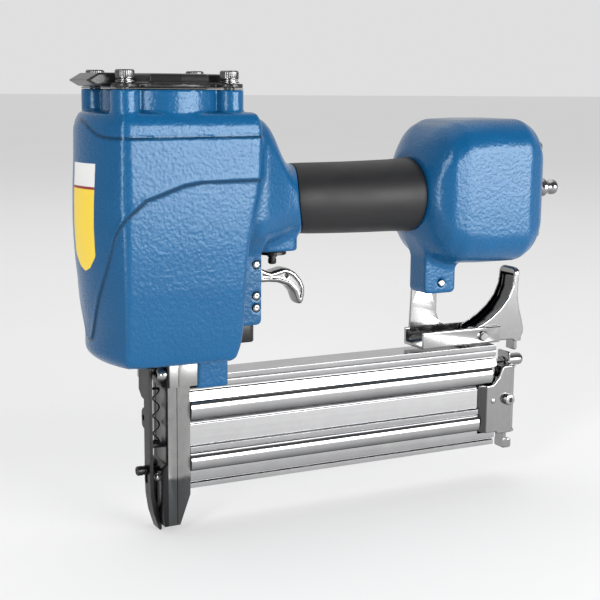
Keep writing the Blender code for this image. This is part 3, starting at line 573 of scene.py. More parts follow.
def nose_steel():
    """Ground steel that has been blackened by heat treatment towards the tip, with painted shade on its
    front face and recess.
    """
    material, tree, shader, place = start_material("nose_steel", 1.0)
    grain = noise(tree, place, 1500.0, 3.0, 0.6)
    clouds = noise(tree, place, 160.0, 4.0, 0.6)
    edge = tree.nodes.new("ShaderNodeMath")
    edge.operation = "MULTIPLY_ADD"
    tree.links.new(clouds, edge.inputs[0])
    edge.inputs[1].default_value = 0.006
    tree.links.new(coordinate(tree, place, "Z"), edge.inputs[2])
    base = ORIGIN[2]
    height = remap(tree, edge.outputs["Value"], base + 29.0 * MM, base + 31.5 * MM, 0.0, 1.0)
    bright = mixed(tree, clouds, (0.26, 0.26, 0.26), (0.38, 0.38, 0.37))
    colour = mixed(tree, height, (0.085, 0.087, 0.089), bright)
    # Painted shade: the front face and its recess are coloured near black.
    front = ORIGIN[0] - 2.3 * MM
    facing = remap(tree, coordinate(tree, place, "X"), front - 0.2 * MM, front + 0.2 * MM, 0.0, 1.0)
    finish(tree, shader, mixed(tree, facing, (0.030, 0.030, 0.031), colour),
           remap(tree, grain, 0.3, 0.7, 0.26, 0.40), bump(tree, grain, 0.018))
    return material


def sticker():
    """Printed film with plain fields: a pale head, a dark bar and a yellow body."""
    material, tree, shader, place = start_material("sticker_film")
    height_here = coordinate(tree, place, "Z")
    speck = noise(tree, place, 900.0, 3.0)
    colour = mixed(tree, speck, (0.78, 0.55, 0.035), (0.86, 0.62, 0.05))
    bar, head = 189.0, 190.4
    for height, paint in ((bar, (0.24, 0.012, 0.010)), (head, (0.72, 0.72, 0.71))):
        edge = remap(tree, height_here, ORIGIN[2] + (height - 0.1) * MM,
                     ORIGIN[2] + (height + 0.1) * MM, 0.0, 1.0)
        colour = mixed(tree, edge, colour, paint)
    finish(tree, shader, colour, remap(tree, speck, 0.3, 0.7, 0.28, 0.40),
           bump(tree, speck, 0.01))
    return material


BLUE = painted("hammered_blue", (0.0028, 0.066, 0.172), (0.0040, 0.078, 0.200),
               0.12, 560.0, 0.17, 0.27, (0.62, 0.84, 1.0, 1.0))
BLACK = painted("black_enamel", (0.007, 0.007, 0.008), (0.013, 0.013, 0.014), 0.15, 900.0, 0.03, 0.34)
RUBBER = moulded("grip_rubber", (0.009, 0.009, 0.010), (0.015, 0.015, 0.016), 0.50, 2200.0, 0.030)
FIBRE = moulded("gasket_fibre", (0.05, 0.05, 0.045), (0.11, 0.11, 0.10), 0.85, 1500.0, 0.05)
SEAL = moulded("seal_rubber", (0.010, 0.010, 0.010), (0.020, 0.020, 0.020), 0.45, 1800.0, 0.01)
URETHANE = moulded("urethane", (0.30, 0.17, 0.03), (0.46, 0.30, 0.08), 0.40, 900.0, 0.01)
EXTRUDED = metal("extruded_aluminium", (0.36, 0.36, 0.365), (0.50, 0.50, 0.505), 0.12, 700.0,
                 (0.02, 1.0, 1.0), 0.002, 0.04, 0.3, 0.9)
MACHINED = metal("machined_metal", (0.42, 0.42, 0.43), (0.56, 0.56, 0.57), 0.26, 1100.0,
                 (1.0, 1.0, 0.2), 0.004)
SHEET = metal("rolled_sheet", (0.30, 0.30, 0.30), (0.42, 0.42, 0.42), 0.13, 600.0,
              (0.06, 1.0, 0.5), 0.002, 0.04, underside_shade=0.5)
CAST = nose_steel()
POLISHED = metal("polished_plate", (0.30, 0.30, 0.31), (0.44, 0.44, 0.45), 0.17, 300.0,
                 (1.0, 1.0, 0.4), 0.010, 0.04, underside_shade=0.5)
SATIN = metal("satin_plate", (0.26, 0.26, 0.26), (0.38, 0.38, 0.38), 0.14, 500.0,
              (1.0, 1.0, 0.4), 0.003, 0.05, underside_shade=0.8)
SCREW = metal("dull_steel", (0.10, 0.10, 0.10), (0.19, 0.19, 0.19), 0.26, 1500.0, depth=0.006)
ZINC = metal("zinc_plate", (0.28, 0.28, 0.28), (0.44, 0.44, 0.43), 0.25, 1600.0, depth=0.006)
SPRING = metal("spring_steel", (0.34, 0.34, 0.35), (0.52, 0.52, 0.53), 0.30, 1200.0)
LABEL = sticker()
DARK = metal("blackened_steel", (0.020, 0.020, 0.021), (0.055, 0.055, 0.057), 0.36, 1300.0)

BY_SLOT = {
    "blue_paint": BLUE, "black_paint": BLACK, "black_steel": DARK, "rubber": RUBBER,
    "seal": SEAL, "gasket": FIBRE, "urethane": URETHANE, "aluminium": EXTRUDED,
    "machined": MACHINED, "sheet_steel": SHEET, "cast_steel": CAST, "chrome": POLISHED,
    "zinc": ZINC, "spring_steel": SPRING,
}


def dress_cad_nodes():
    """Inner pieces stay as the CAD has them and only take a finish."""
    for part in frame["record"]["subparts"]:
        for slot in frame["nodes"][part["node"]].material_slots:
            slot.material = BY_SLOT[part["material_slot"]]


# ---------------------------------------------------------------- housing
# Outlines of the castings, read along the height or along the handle.

HEAD_Z = (95.0, 100.0, 104.0, 108.0, 115.0, 126.0, 138.0, 149.0, 160.0, 171.0, 187.0, 203.0,
          216.0, 228.5)
HEAD_FRONT = (40.5, 43.0, 43.4, 43.0, 43.2, 44.6, 45.8, 47.1, 47.9, 48.3, 48.0, 47.2, 46.9, 46.6)
FRONT_CORNER = 32.8             # how far forward the two upright front corners stand
HEAD_REAR_Z = (95.0, 99.0, 109.0, 136.0, 158.0, 170.0, 190.0, 216.0, 228.5)
HEAD_REAR = (30.8, 33.4, 35.2, 36.2, 37.6, 40.0, 44.0, 45.0, 44.4)
HEAD_HALF = (31.8, 32.8, 33.8, 35.8, 36.4, 36.4, 36.4, 36.2, 35.9)    # at the rear edge
SIDE_TAPER = 0.03
PANEL = 0.9                     # how far one cast panel stands above the next
LABEL_TOP = 202.3
LABEL_POINT = 146.2             # lowest point of the sticker on the front
LABEL_TURN = math.radians(9.0)  # how far round the sticker sits from the middle

NECK_X = (26.0, 48.0, 56.0, 62.5, 70.0, 75.0, 80.0)
NECK_HALF = (26.0, 28.6, 25.5, 23.0, 20.8, 20.0, 19.8)
NECK_LOW = (151.0, 153.0, 155.0, 156.0, 158.6, 159.2, 159.4)
NECK_HIGH = (226.5, 226.0, 224.0, 215.0, 202.5, 199.4, 199.0)
NECK_LEAN = (0.0, 0.0, 0.0, -0.06, -0.09, -0.16, -0.18)

CHAMBER_X = (156.8, 161.0, 168.0, 178.0, 196.0, 222.0, 231.0, 237.0)
CHAMBER_OUT = (23.0, 28.0, 32.2, 34.5, 34.5, 34.5, 31.0, 25.5)
CHAMBER_UP = (24.0, 31.5, 38.5, 42.4, 43.0, 43.0, 39.5, 34.0)
CHAMBER_R = (22.0, 24.0, 22.0, 20.0, 19.0, 19.0, 19.0, 18.0)

# Cast lines as (reach round the head, height). The reach is x + |y|: it runs forward along
# the side, round the corner and across the front to the middle.
SWEEP = ((95.0, 193.2), (76.5, 193.1), (44.0, 192.7), (33.5, 191.1), (20.0, 186.5), (12.5, 184.1),
         (1.0, 175.1), (-5.0, 170.0), (-9.0, 165.0), (-11.0, 159.3), (-17.0, 147.2),
         (-26.0, 132.6), (-32.5, 119.7), (-38.0, 109.0))
BELT = ((-47.0, 225.5), (-36.0, 222.6), (-30.0, 219.6), (-24.0, 217.2), (-17.0, 216.0),
        (-8.0, 215.6), (95.0, 216.3))


def line_distances(x, y, z):
    """Height above the belt line, and distance below the sweep line (negative above it)."""
    reach = x + np.abs(y)
    belt = z - np.interp(reach, *zip(*BELT))
    shield = [*SWEEP, (-60.0, 100.0), (-60.0, 260.0), (95.0, 260.0)]
    return belt, polygon(reach, z, shield)


def cast_lines(x, y, z):
    """Inward steps of the head: above the belt line, and over the lower side panels."""
    belt, sweep = line_distances(x, y, z)
    above = smooth_step(0.5 + belt)
    groove = np.exp(-((belt + 0.2) / 0.8) ** 2)
    lower = smooth_step(0.5 + sweep / 1.4)
    lip = np.exp(-((sweep + 1.2) / 1.1) ** 2)
    return 0.55 * PANEL * above + 0.4 * groove + PANEL * lower - 0.25 * lip


def front_bow(z):
    """Front of the head at the middle, and the radius of its bow between the corners."""
    front = blended(z, HEAD_Z, HEAD_FRONT, 3.0)
    bow = np.maximum(front - FRONT_CORNER, 0.6)
    wide = blended(z, HEAD_REAR_Z, HEAD_HALF, 3.0) - SIDE_TAPER * 74.0
    return front, (wide ** 2 + bow ** 2) / (2 * bow)


def head_field(x, y, z):
    front, radius = front_bow(z)
    rear = blended(z, HEAD_REAR_Z, HEAD_REAR, 5.0)
    half = blended(z, HEAD_REAR_Z, HEAD_HALF, 3.0)
    drum = np.hypot(np.minimum(x + front - radius, 0.0), y) - radius
    side = np.abs(y) - (half - SIDE_TAPER * (rear - x))
    plan = both(both(drum, side, 2.4), x - rear, 5.5)
    chin = 3.2 + 4.0 * smooth_step((-20.0 - x) / 20.0)
    low = both(plan + cast_lines(x, y, z), HEAD_BOTTOM - z, chin)
    shoulder = (plan + z - LEDGE_Z + 4.0) / math.sqrt(2)
    return both(both(low, shoulder, 3.0), z - LEDGE_Z, 1.5)


def front_label():
    """Blank shield-shaped sticker wrapped round the head's front."""
    rows, columns, thick = 30, 16, 0.22
    bm = bmesh.new()
    layers = []
    for lift in (0.02, thick):
        grid = []
        for i in range(rows + 1):
            z = LABEL_TOP - (LABEL_TOP - LABEL_POINT) * i / rows
            half = float(np.interp(z, (LABEL_POINT, 148.2, 154.5, LABEL_TOP), (0.8, 5.4, 10.6, 11.3)))
            front, bend = (float(value) for value in front_bow(np.array(z)))
            radius = bend + lift
            edge = math.asin(half / radius)
            line = []
            for j in range(columns + 1):
                angle = edge * (2 * j / columns - 1) - LABEL_TURN
                line.append(bm.verts.new((bend - front - radius * math.cos(angle),
                                          radius * math.sin(angle), z)))
            grid.append(line)
        layers.append(grid)
    for grid in layers:
        for i in range(rows):
            for j in range(columns):
                bm.faces.new((grid[i][j], grid[i][j + 1], grid[i + 1][j + 1], grid[i + 1][j]))
    inner, outer = layers
    rim = ([(0, j) for j in range(columns + 1)] + [(i, columns) for i in range(1, rows + 1)]
           + [(rows, j) for j in range(columns - 1, -1, -1)] + [(i, 0) for i in range(rows - 1, 0, -1)])
    for (i, j), (k, m) in zip(rim, rim[1:] + rim[:1]):
        bm.faces.new((inner[i][j], inner[k][m], outer[k][m], outer[i][j]))
    return collect(bm, "front_label", "body", LABEL, sharp=50)


def flange_field(x, y, z):
    ring = np.hypot(x, y) - RING_R
    boss = np.hypot(np.abs(x) - BOLT_X, np.abs(y) - BOLT_Y) - BOSS_R
    return both(either(ring, boss, 1.6), slab(z, LEDGE_Z - 6, RING_TOP), 0.7)


def neck_field(x, y, z):
    along = x + blended(x, NECK_X, NECK_LEAN, 3.0) * (GRIP_Z - z)
    low = blended(along, NECK_X, NECK_LOW, 3.0)
    high = blended(along, NECK_X, NECK_HIGH, 4.0)
    half = blended(along, NECK_X, NECK_HALF, 4.0)
    section = rect(y, z - (low + high) / 2, half, (high - low) / 2, np.minimum(19.0, half - 0.5))
    swept = x + front_edge(y, z) - 0.6
    return both(section, most(20.0 - x, swept - SLEEVE_LOW[0] - 1.4), 0.8)


def chamber_field(x, y, z):
    half = blended(x, CHAMBER_X, CHAMBER_OUT, 2.0)
    up = blended(x, CHAMBER_X, CHAMBER_UP, 2.5)
    radius = blended(x, CHAMBER_X, CHAMBER_R, 2.0)
    section = rect(y, z - CHAMBER_Z, half, up, np.minimum(radius, half - 0.5))
    return both(section, slab(x, CHAMBER_X[0], CHAMBER_X[-1]), 2.5)


def cheek_field(x, y, z):
    outline = [(26.0, 111.2), (51.2, 111.2), (51.2, 160.0), (46.0, 170.0), (26.0, 170.0)]
    cut = rect(x - 38.6, z - 138.0, 12.6, 26.8, 3.4)
    side = np.maximum(polygon(x, z, outline), cut)
    return both(side, slab(np.abs(y), 8.0, 18.0), 0.8)


def housing_field(x, y, z):
    shape = either(head_field(x, y, z), flange_field(x, y, z), 1.4)
    shape = either(shape, cheek_field(x, y, z), 1.6)
    boss = both(rect(x - 65.6, y, 12.6, 12.0, 6.0), slab(z, 150.6, 176.0), 1.4)
    neck = either(neck_field(x, y, z), boss, 3.5)
    shape = either(shape, neck, 5.0)
    tube = both(np.hypot(y, z - GRIP_Z) - 17.0, slab(x, 60.0, 175.0), 0.5)
    shape = np.minimum(shape, tube)
    lug = both(rect(x - 175.3, z - 136.6, 10.9, 17.4, 3.2), slab(y, -8.9, 8.9), 1.2)
    chamber = either(chamber_field(x, y, z), lug, 5.5)
    shape = np.minimum(shape, chamber)
    block = both(rect(x - 23.45, y, 9.15, 14.0, 1.4), slab(z, 77.6, 99.0), 1.0)
    shape = either(shape, block, 1.2)
    return hollowed(shape, x, y, z)


def hollowed(shape, x, y, z):
    """Cuts the cylinder bore, air passage, rear chamber and the holes."""
    bore = both(np.hypot(x, y) - 24.0, slab(z, 100.0, 260.0), 0.5)
    shape = without(shape, bore, 0.6)
    slot = np.maximum(rect(x, y, 3.0, 8.5, 0.6), slab(z, 88.0, 106.0))
    passage = np.maximum(np.hypot(y, z - GRIP_Z) - 12.0, slab(x, 10.0, 185.0))
    room = np.maximum(rect(y, z - CHAMBER_Z, 26.0, 33.0, 12.0), slab(x, 174.0, 250.0))
    valve = np.maximum(np.hypot(x - 66.2, y) - 6.6, slab(z, 140.0, GRIP_Z))
    for hollow in (slot, passage, room, valve):
        shape = np.maximum(shape, -hollow)
    for height in PIN_HEIGHTS:
        shape = np.maximum(shape, 2.45 - np.hypot(x - PIN_X, z - height))
    lug_hole = np.maximum(np.hypot(x - LUG_HOLE[0], z - LUG_HOLE[1]) - 2.4, z - 131.0)
    screws = np.hypot(np.abs(x) - BOLT_X, np.abs(y) - BOLT_Y) - 3.3
    nose = np.hypot(np.abs(y) - NOSE_SCREW[0], z - NOSE_SCREW[1]) - 2.3
    nose = np.maximum(nose, slab(x, 5.0, 29.6))
    return most(shape, -lug_hole, -np.maximum(screws, 222.0 - z), -nose)


def painted_crease_shade(x, y, z):
    """Painted shade along the cast lines' creases, from 0 to 1."""
    belt, sweep = line_distances(x, y, z)
    line = np.exp(-((belt + 0.2) / 0.75) ** 2) + np.exp(-((sweep - 0.2) / 1.0) ** 2)
    on_head = (np.abs(head_field(x, y, z)) < 0.6) & (z < LEDGE_Z - 2.0) & (z > 100.0)
    return np.clip(line, 0.0, 1.0) * on_head * (np.abs(y) + np.maximum(0.0, -x) > 26.0)


def housing():
    low, high = span("gun_body")
    # Painted shade along the cast lines, written into the mesh mark.
    bm = marked(skin(housing_field, low, high, 0.95), painted_crease_shade)
    return collect(bm, "housing", "body", BLUE, ["gun_body"], sharp=50)


# ---------------------------------------------------------------- cap and its screws

def bolt_places():
    return [(sx * BOLT_X, sy * BOLT_Y) for sx in (-1, 1) for sy in (-1, 1)]


def cap_field(x, y, z):
    """Thin bolt flange, raised deck and the pointed exhaust lip at the front."""
    base = RING_TOP + 1.0
    ring = np.hypot(x, y) - (RING_R - 0.6)
    boss = np.hypot(np.abs(x) - BOLT_X, np.abs(y) - BOLT_Y) - (BOSS_R - 0.3)
    flange = both(either(ring, boss, 2.0), slab(z, base, base + 2.2), 0.5)
    narrow = (z - base) * 0.25
    outline = [(-38.0, -15.0), (-22.0, -15.6), (-17.0, -27.0), (0.0, -30.4), (17.0, -27.0),
               (21.5, -16.0), (35.6, -15.0), (35.6, 15.0), (21.5, 16.0), (17.0, 27.0),
               (0.0, 30.4), (-17.0, 27.0), (-22.0, 15.6), (-38.0, 15.0)]
    deck = both(polygon(x, y, outline) + narrow, slab(z, base + 0.4, CAP_TOP), 1.3)
    lip_side = [(-30.0, 241.8), (-41.0, 241.4), (-46.5, 244.4), (-40.0, CAP_TOP), (-30.0, CAP_TOP)]
    lip = both(polygon(x, z, lip_side), np.abs(y) - 15.4, 0.8)
    shape = either(either(flange, deck, 0.8), lip, 0.8)
    spigot = np.maximum(np.hypot(x, y) - 23.7, slab(z, 231.0, base + 1.5))
    shape = np.minimum(shape, spigot)
    well = np.maximum(np.hypot(x, y) - 16.6, slab(z, 226.0, 243.6))
    vent = np.maximum(rect(np.abs(y) - 6.2, x + 37.6, 4.6, 2.0, 0.8), z - 243.2)
    holes = np.hypot(np.abs(x) - BOLT_X, np.abs(y) - BOLT_Y) - 3.4
    return most(shape, -well, -vent, -holes)


def cap():
    low, high = span("cylinder_cap")
    return collect(skin(cap_field, low, high, 0.8), "exhaust_cap", "body", BLACK,
                   ["cylinder_cap"], sharp=40)


def cap_screws():
    """Knurled socket screws, each on a split lock washer and a flat washer."""
    for index, (x, y) in enumerate(bolt_places(), 1):
        washer_low, washer_high = span("cap_washer_%d" % index)
        seat, lock = washer_low[2], washer_low[2] + 0.75
        flat = turned([(3.3, seat), (5.1, seat), (5.3, seat + 0.15), (5.3, lock - 0.15),
                       (5.1, lock), (3.3, lock)], (x, y, 0), "z")
        split = split_ring(3.3, 4.7, lock + 0.05, washer_high[2], 36)
        bmesh.ops.translate(split, verts=split.verts, vec=(x, y, 0))
        collect(merged(flat, split), "lock_washer_%d" % index, "body", SCREW,
                ["cap_washer_%d" % index])
        shank = rod((x, y), 2.9, span("cap_screw_%d" % index)[0][2], washer_high[2] + 0.8, "z")
        screw = unite(knurled_head((x, y), washer_high[2] + 0.3, SCREW_TOP, 5.0), shank)
        screw = carve(screw, prism(circle((x, y), 2.75, 6, 0.3), SCREW_TOP - 2.6,
                                   SCREW_TOP + 1, "z"))
        collect(screw, "socket_screw_%d" % index, "body", SCREW, ["cap_screw_%d" % index])


def split_ring(inner, outer, low, high, count):
    """Flat spring ring with one cut, its ends a little apart in height."""
    sections = []
    for i in range(count + 1):
        angle = math.radians(7) + (2 * math.pi - math.radians(14)) * i / count
        lift = 0.12 * (i / count - 0.5)
        section = [(inner, low + 0.1), (outer, low + 0.1), (outer, high - 0.1), (inner, high - 0.1)]
        sections.append([(r * math.cos(angle), r * math.sin(angle), h + lift) for r, h in section])
    return lofted(sections)


def knurled_head(centre, low, high, radius, teeth=36):
    """Cylindrical head with a straight knurl, a bare band at its foot and a bevelled rim."""
    levels = [(low, 0.0, -0.25), (low + 0.2, 0.0, 0.0), (low + 0.7, 0.0, 0.0),
              (low + 0.9, 1.0, 0.0), (high - 0.8, 1.0, 0.0), (high - 0.55, 0.0, -0.1),
              (high, 0.0, -0.6)]
    sections = []
    for height, depth, shift in levels:
        section = []
        for i in range(4 * teeth):
            angle = 2 * math.pi * i / (4 * teeth)
            groove = 0.16 * depth * (0, 0.5, 1, 0.5)[i % 4]
            reach = radius + shift - groove
            section.append((centre[0] + reach * math.cos(angle),
                            centre[1] + reach * math.sin(angle), height))
        sections.append(section)
    return lofted(sections)


# ---------------------------------------------------------------- handle, rear cover and plug

def front_edge(y, z):
    """How far the sleeve's front edge runs forward: it leans, and sweeps forward at the sides."""
    return 0.11 * (z - GRIP_Z) + 6.0 * (y / 20.0) ** 2


def sleeve():
    """Rubber tube that swells a little to the rear, with rolled ends; its front edge leans."""
    front, rear = SLEEVE_LOW[0], SLEEVE_HIGH[0]
    start = front + 2.2
    stations = [(17.3, start), (19.0, start), (19.7, start + 0.3), (20.0, start + 1.2)]
    for t in np.linspace(0.08, 0.94, 16):
        x = start + (rear - start) * t
        stations.append((20.15 + 1.35 * t + 0.9 * max(0.0, t - 0.8) ** 2 / 0.04, x))
    stations += [(22.1, rear - 1.2), (21.6, rear - 0.3), (20.8, rear), (17.3, rear)]
    bm = turned(stations, (0, 0, GRIP_Z), "x", 96)
    for vert in bm.verts:
        fade = max(0.0, 1.0 - (vert.co.x - start) / 30.0)
        vert.co.x -= fade * (float(front_edge(vert.co.y, vert.co.z)))
        vert.co.z -= 0.4 * math.sin(math.pi * (vert.co.x - start) / (rear - start))
    return collect(bm, "grip_cover", "body", RUBBER, ["grip_sleeve"], sharp=60)


def rear_cover():
    rear = CHAMBER_X[-1]
    low, high = span("end_cap")
    middle = CHAMBER_Z

    def field(x, y, z):
        plate = both(rect(y, z - middle, 25.6, 32.6, 11.6), slab(x, low[0], rear - 1.2), 0.9)
        rib = both(rect(y, z - middle, 20.0, 27.0, 8.0), slab(x, rear - 4, rear - 0.2), 0.8)
        boss = both(np.hypot(y, z - middle + 0.5) - 13.0, slab(x, rear - 4, high[0]), 1.2)
        shape = either(either(plate, rib, 0.8), boss, 2.0)
        seats = np.hypot(np.abs(y) - 19.0, np.abs(z - middle) - 26.0)
        shape = either(shape, np.maximum(seats - 5.0, slab(x, rear - 4, rear - 1.2)), 0.5)
        spot = np.maximum(seats - 4.0, rear - 1.2 - x)
        hole = np.minimum(np.hypot(y, z - middle + 0.5) - 6.4, seats - 1.9)
        return most(shape, -spot, -hole)

    collect(skin(field, low, high, 0.8), "rear_cover", "body", BLUE, ["end_cap"], sharp=45)
    for index in range(1, 5):
        node = "end_cap_screw_%d" % index
        low, high = span(node)
        _, y, z = centre_of(node)
        seat = rear - 0.9
        head = turned([(0, low[0]), (1.6, low[0]), (1.6, seat), (3.2, seat), (3.4, seat + 0.2),
                       (3.4, seat + 1.5), (3.0, seat + 2.2), (2.0, high[0]), (0, high[0])],
                      (0, y, z), "x")
        cross = unite(box((seat + 1.3, y - 2.1, z - 0.45), (rear + 9, y + 2.1, z + 0.45)),
                      box((seat + 1.3, y - 0.45, z - 2.1), (rear + 9, y + 0.45, z + 2.1)))
        collect(carve(head, cross), "cover_screw_%d" % index, "body", ZINC, [node])


def plug():
    """Plated air nipple: hexagon, waist, locking groove and a bevelled mouth."""
    rear = CHAMBER_X[-1]
    end = PLUG_END
    z = CHAMBER_Z - 0.5
    stations = [(2.8, rear - 4), (6.1, rear - 4), (6.1, rear + 5.3), (6.6, rear + 5.35),
                (6.6, rear + 9.5), (5.6, rear + 9.9), (4.9, rear + 11.0), (4.7, end - 12.6),
                (5.5, end - 11.4), (5.8, end - 11.0), (5.8, end - 9.0), (5.5, end - 8.6),
                (4.0, end - 7.4), (3.7, end - 6.8), (3.7, end - 4.6), (3.9, end - 4.2),
                (4.6, end - 3.3), (4.7, end - 3.0), (4.7, end - 0.7), (4.4, end - 0.1),
                (4.0, end), (3.2, end), (2.8, end - 0.5)]
    barrel = turned(stations, (0, 0, z), "x", 64)
    nut = prism(circle((0, z), 8.0, 6, math.pi / 6), rear + 5.3, rear + 9.5, "x")
    round_edge = turned([(0, rear + 5.2), (7.3, rear + 5.2), (8.1, rear + 6.0),
                         (8.1, rear + 8.7), (7.2, rear + 9.6), (0, rear + 9.6)],
                        (0, 0, z), "x", 64)
    nut = carve(nut, round_edge, "INTERSECT")
    nut = carve(nut, rod((0, z), 2.8, rear, rear + 20, "x"))
    return collect(unite(barrel, nut), "air_nipple", "body", POLISHED, ["air_plug"])


# ---------------------------------------------------------------- trigger and its valve

def trigger_outline():
    """Hub round the pin, a humped back and a hooked tip, as heights along the side."""
    hub = [(PIN_X + 4.6 * math.cos(math.radians(a)), PIN_HEIGHTS[0] + 4.6 * math.sin(math.radians(a)))
           for a in range(60, 301, 20)]
    lower = [(56.0, 132.6), (62.0, 132.4), (68.0, 131.8), (74.0, 129.6), (77.8, 125.6),
             (79.4, 121.4), (80.4, 119.4)]
    tip = [(81.6, 118.4), (83.2, 118.8), (84.4, 120.8)]
    back = [(85.1, 124.6), (85.1, 128.4), (83.0, 133.2), (79.0, 137.6), (75.4, 139.7),
            (71.6, 140.6), (67.6, 139.6), (63.6, 138.6), (60.0, 139.6), (56.4, 141.0)]
    return hub + lower + tip + back


def trigger():
    outline = softened(trigger_outline(), 4.0, 2)

    def field(x, y, z):
        side = polygon(x, z, outline)
        crown = 0.035 * y ** 2 * smooth_step((x - 54.0) / 8.0)
        shape = both(side + crown * 0.6, np.abs(y) - 5.6, 1.3)
        recess = both(side + 2.6, 4.4 - np.abs(y), 0.5)
        shape = np.maximum(shape, -np.maximum(recess, 58.0 - x))
        pin = np.hypot(x - PIN_X, z - PIN_HEIGHTS[0]) - 2.3
        small = np.hypot(x - 73.4, z - 135.4) - 1.3
        return most(shape, -pin, -small)

    low, high = span("trigger")
    return collect(skin(field, low, high, 0.45), "trigger_lever", "trigger", SATIN,
                   ["trigger"], sharp=60)


def valve_parts():
    """Black knurled collar, and the stem that the trigger pushes."""
    low, high = span("valve_housing")
    x = centre_of("valve_housing")[0]
    collar = knurled_head((x, 0), low[2], 150.3, 8.0, 30)
    stalk = rod((x, 0), 6.3, 150.0, high[2], "z")
    collar = unite(collar, stalk)
    collar = carve(collar, rod((x, 0), 3.1, low[2] - 1, high[2] + 1, "z"))
    collect(collar, "valve_collar", "body", DARK, ["valve_housing"])
    low, high = span("valve_stem")
    stem = turned([(0, low[2]), (1.5, low[2]), (2.1, low[2] + 0.3), (2.4, low[2] + 0.9),
                   (2.4, low[2] + 3.0), (2.1, low[2] + 3.2), (2.1, low[2] + 4.0),
                   (2.8, low[2] + 4.3), (2.8, high[2]), (0, high[2])], (x, 0, 0), "z")
    collect(stem, "valve_button", "valve_stem", DARK, ["valve_stem"])


def cross_pin(node, name, radius):
    """Plain pin with slightly domed ends and a small centre mark."""
    x, _, z = centre_of(node)
    a, b = (corner[1] for corner in span(node))
    pin = turned([(0, a + 0.35), (0.5, a + 0.1), (0.8, a), (radius - 0.5, a + 0.15),
                  (radius, a + 0.6), (radius, b - 0.6), (radius - 0.5, b - 0.15), (0.8, b),
                  (0.5, b - 0.1), (0, b - 0.35)], (x, 0, z), "y")
    return collect(pin, name, "body", ZINC, [node])


# ---------------------------------------------------------------- nose

def nose():
    """Two ground plates that hold the blade's track between them, with their screws."""
    front, top = -2.6, span("nose_front_plate")[1][2]
    out, height = NOSE_SCREW
    screw_holes = [(sign * out, height) for sign in (1, -1)]
    side = [(front, 35.6), (front - 2.7, 33.2), (front - 2.7, 6.0), (-4.6, 0.0), (2.85, 0.0),
            (2.85, top), (front, top)]
    plate = unite(prism(side, -NOSE_HALF, NOSE_HALF, "y"),
                  box((-3.4, *FLANGE_FOOT), (2.85, -FLANGE_FOOT[0], top)))
    for cutter in (box((-10, -7.2, 36.0), (front + 0.2, 7.2, 78.0)),
                   box((-1.4, -6.4, -5), (8.0, 6.4, 120)),
                   box((-12, -5.2, -5), (front - 0.9, 5.2, 40.0)),
                   *(rod(place, 2.3, -20, 40, "x") for place in screw_holes)):
        plate = carve(plate, cutter)
    collect(ease(plate, 0.35), "nose_guide_front", "body", CAST, ["nose_front_plate"])
    side = [(3.15, 0.0), (4.6, 0.0), (10.8, 17.0), (10.8, top), (3.15, top)]
    plate = unite(prism(side, -NOSE_HALF, NOSE_HALF, "y"),
                  box((3.15, *FLANGE_FOOT), (14.0, -FLANGE_FOOT[0], top)),
                  box((1.5, -6.0, 0.0), (4.0, 6.0, top)))
    for cutter in (box((-2, -2.4, 22.0), (14.0, 2.4, 77.5)),
                   *(rod(place, 2.3, -20, 40, "x") for place in screw_holes)):
        plate = carve(plate, cutter)
    collect(ease(plate, 0.35), "nose_guide_rear", "body", CAST, ["nose_rear_plate"])
    seat = -3.7
    for index, side in enumerate((-1, 1), 1):
        node = "nose_screw_%d" % index
        low, high = span(node)
        y, z = side * out, height
        screw = turned([(0, low[0]), (1.6, low[0] + 0.1), (2.8, low[0] + 0.8),
                        (3.7, low[0] + 2.1), (3.9, low[0] + 2.9), (3.9, seat), (2.0, seat),
                        (2.0, high[0]), (0, high[0])], (0, y, z), "x")
        socket = prism(circle((y, z), 1.7, 6), low[0] - 1, low[0] + 2.2, "x")
        collect(carve(screw, socket), "dome_screw_%d" % index, "body", ZINC, [node])
    _, y, z = centre_of("foot_guide_screw")
    a, b = (corner[0] for corner in span("foot_guide_screw"))
    knob = turned([(0, a + 0.6), (1.2, a + 0.5), (1.5, a), (2.2, a), (2.7, a + 0.6),
                   (2.7, -13.0), (2.3, -12.7), (2.3, -12.2), (2.7, -11.9), (2.7, -10.9),
                   (1.5, -10.9), (1.5, b), (0, b)], (0, y, z), "x")
    collect(knob, "guide_screw", "body", DARK, ["foot_guide_screw"])


def nose_stud():
    """Bright domed head just above the nose's dark tip."""
    x = -6.1
    stud = turned([(0, x - 1.5), (1.1, x - 1.3), (1.9, x - 0.7), (2.3, x), (2.3, x + 0.6),
                   (0, x + 0.6)], (0, -3.6, STUD_Z), "x", 24)
    collect(stud, "nose_stud", "body", ZINC)


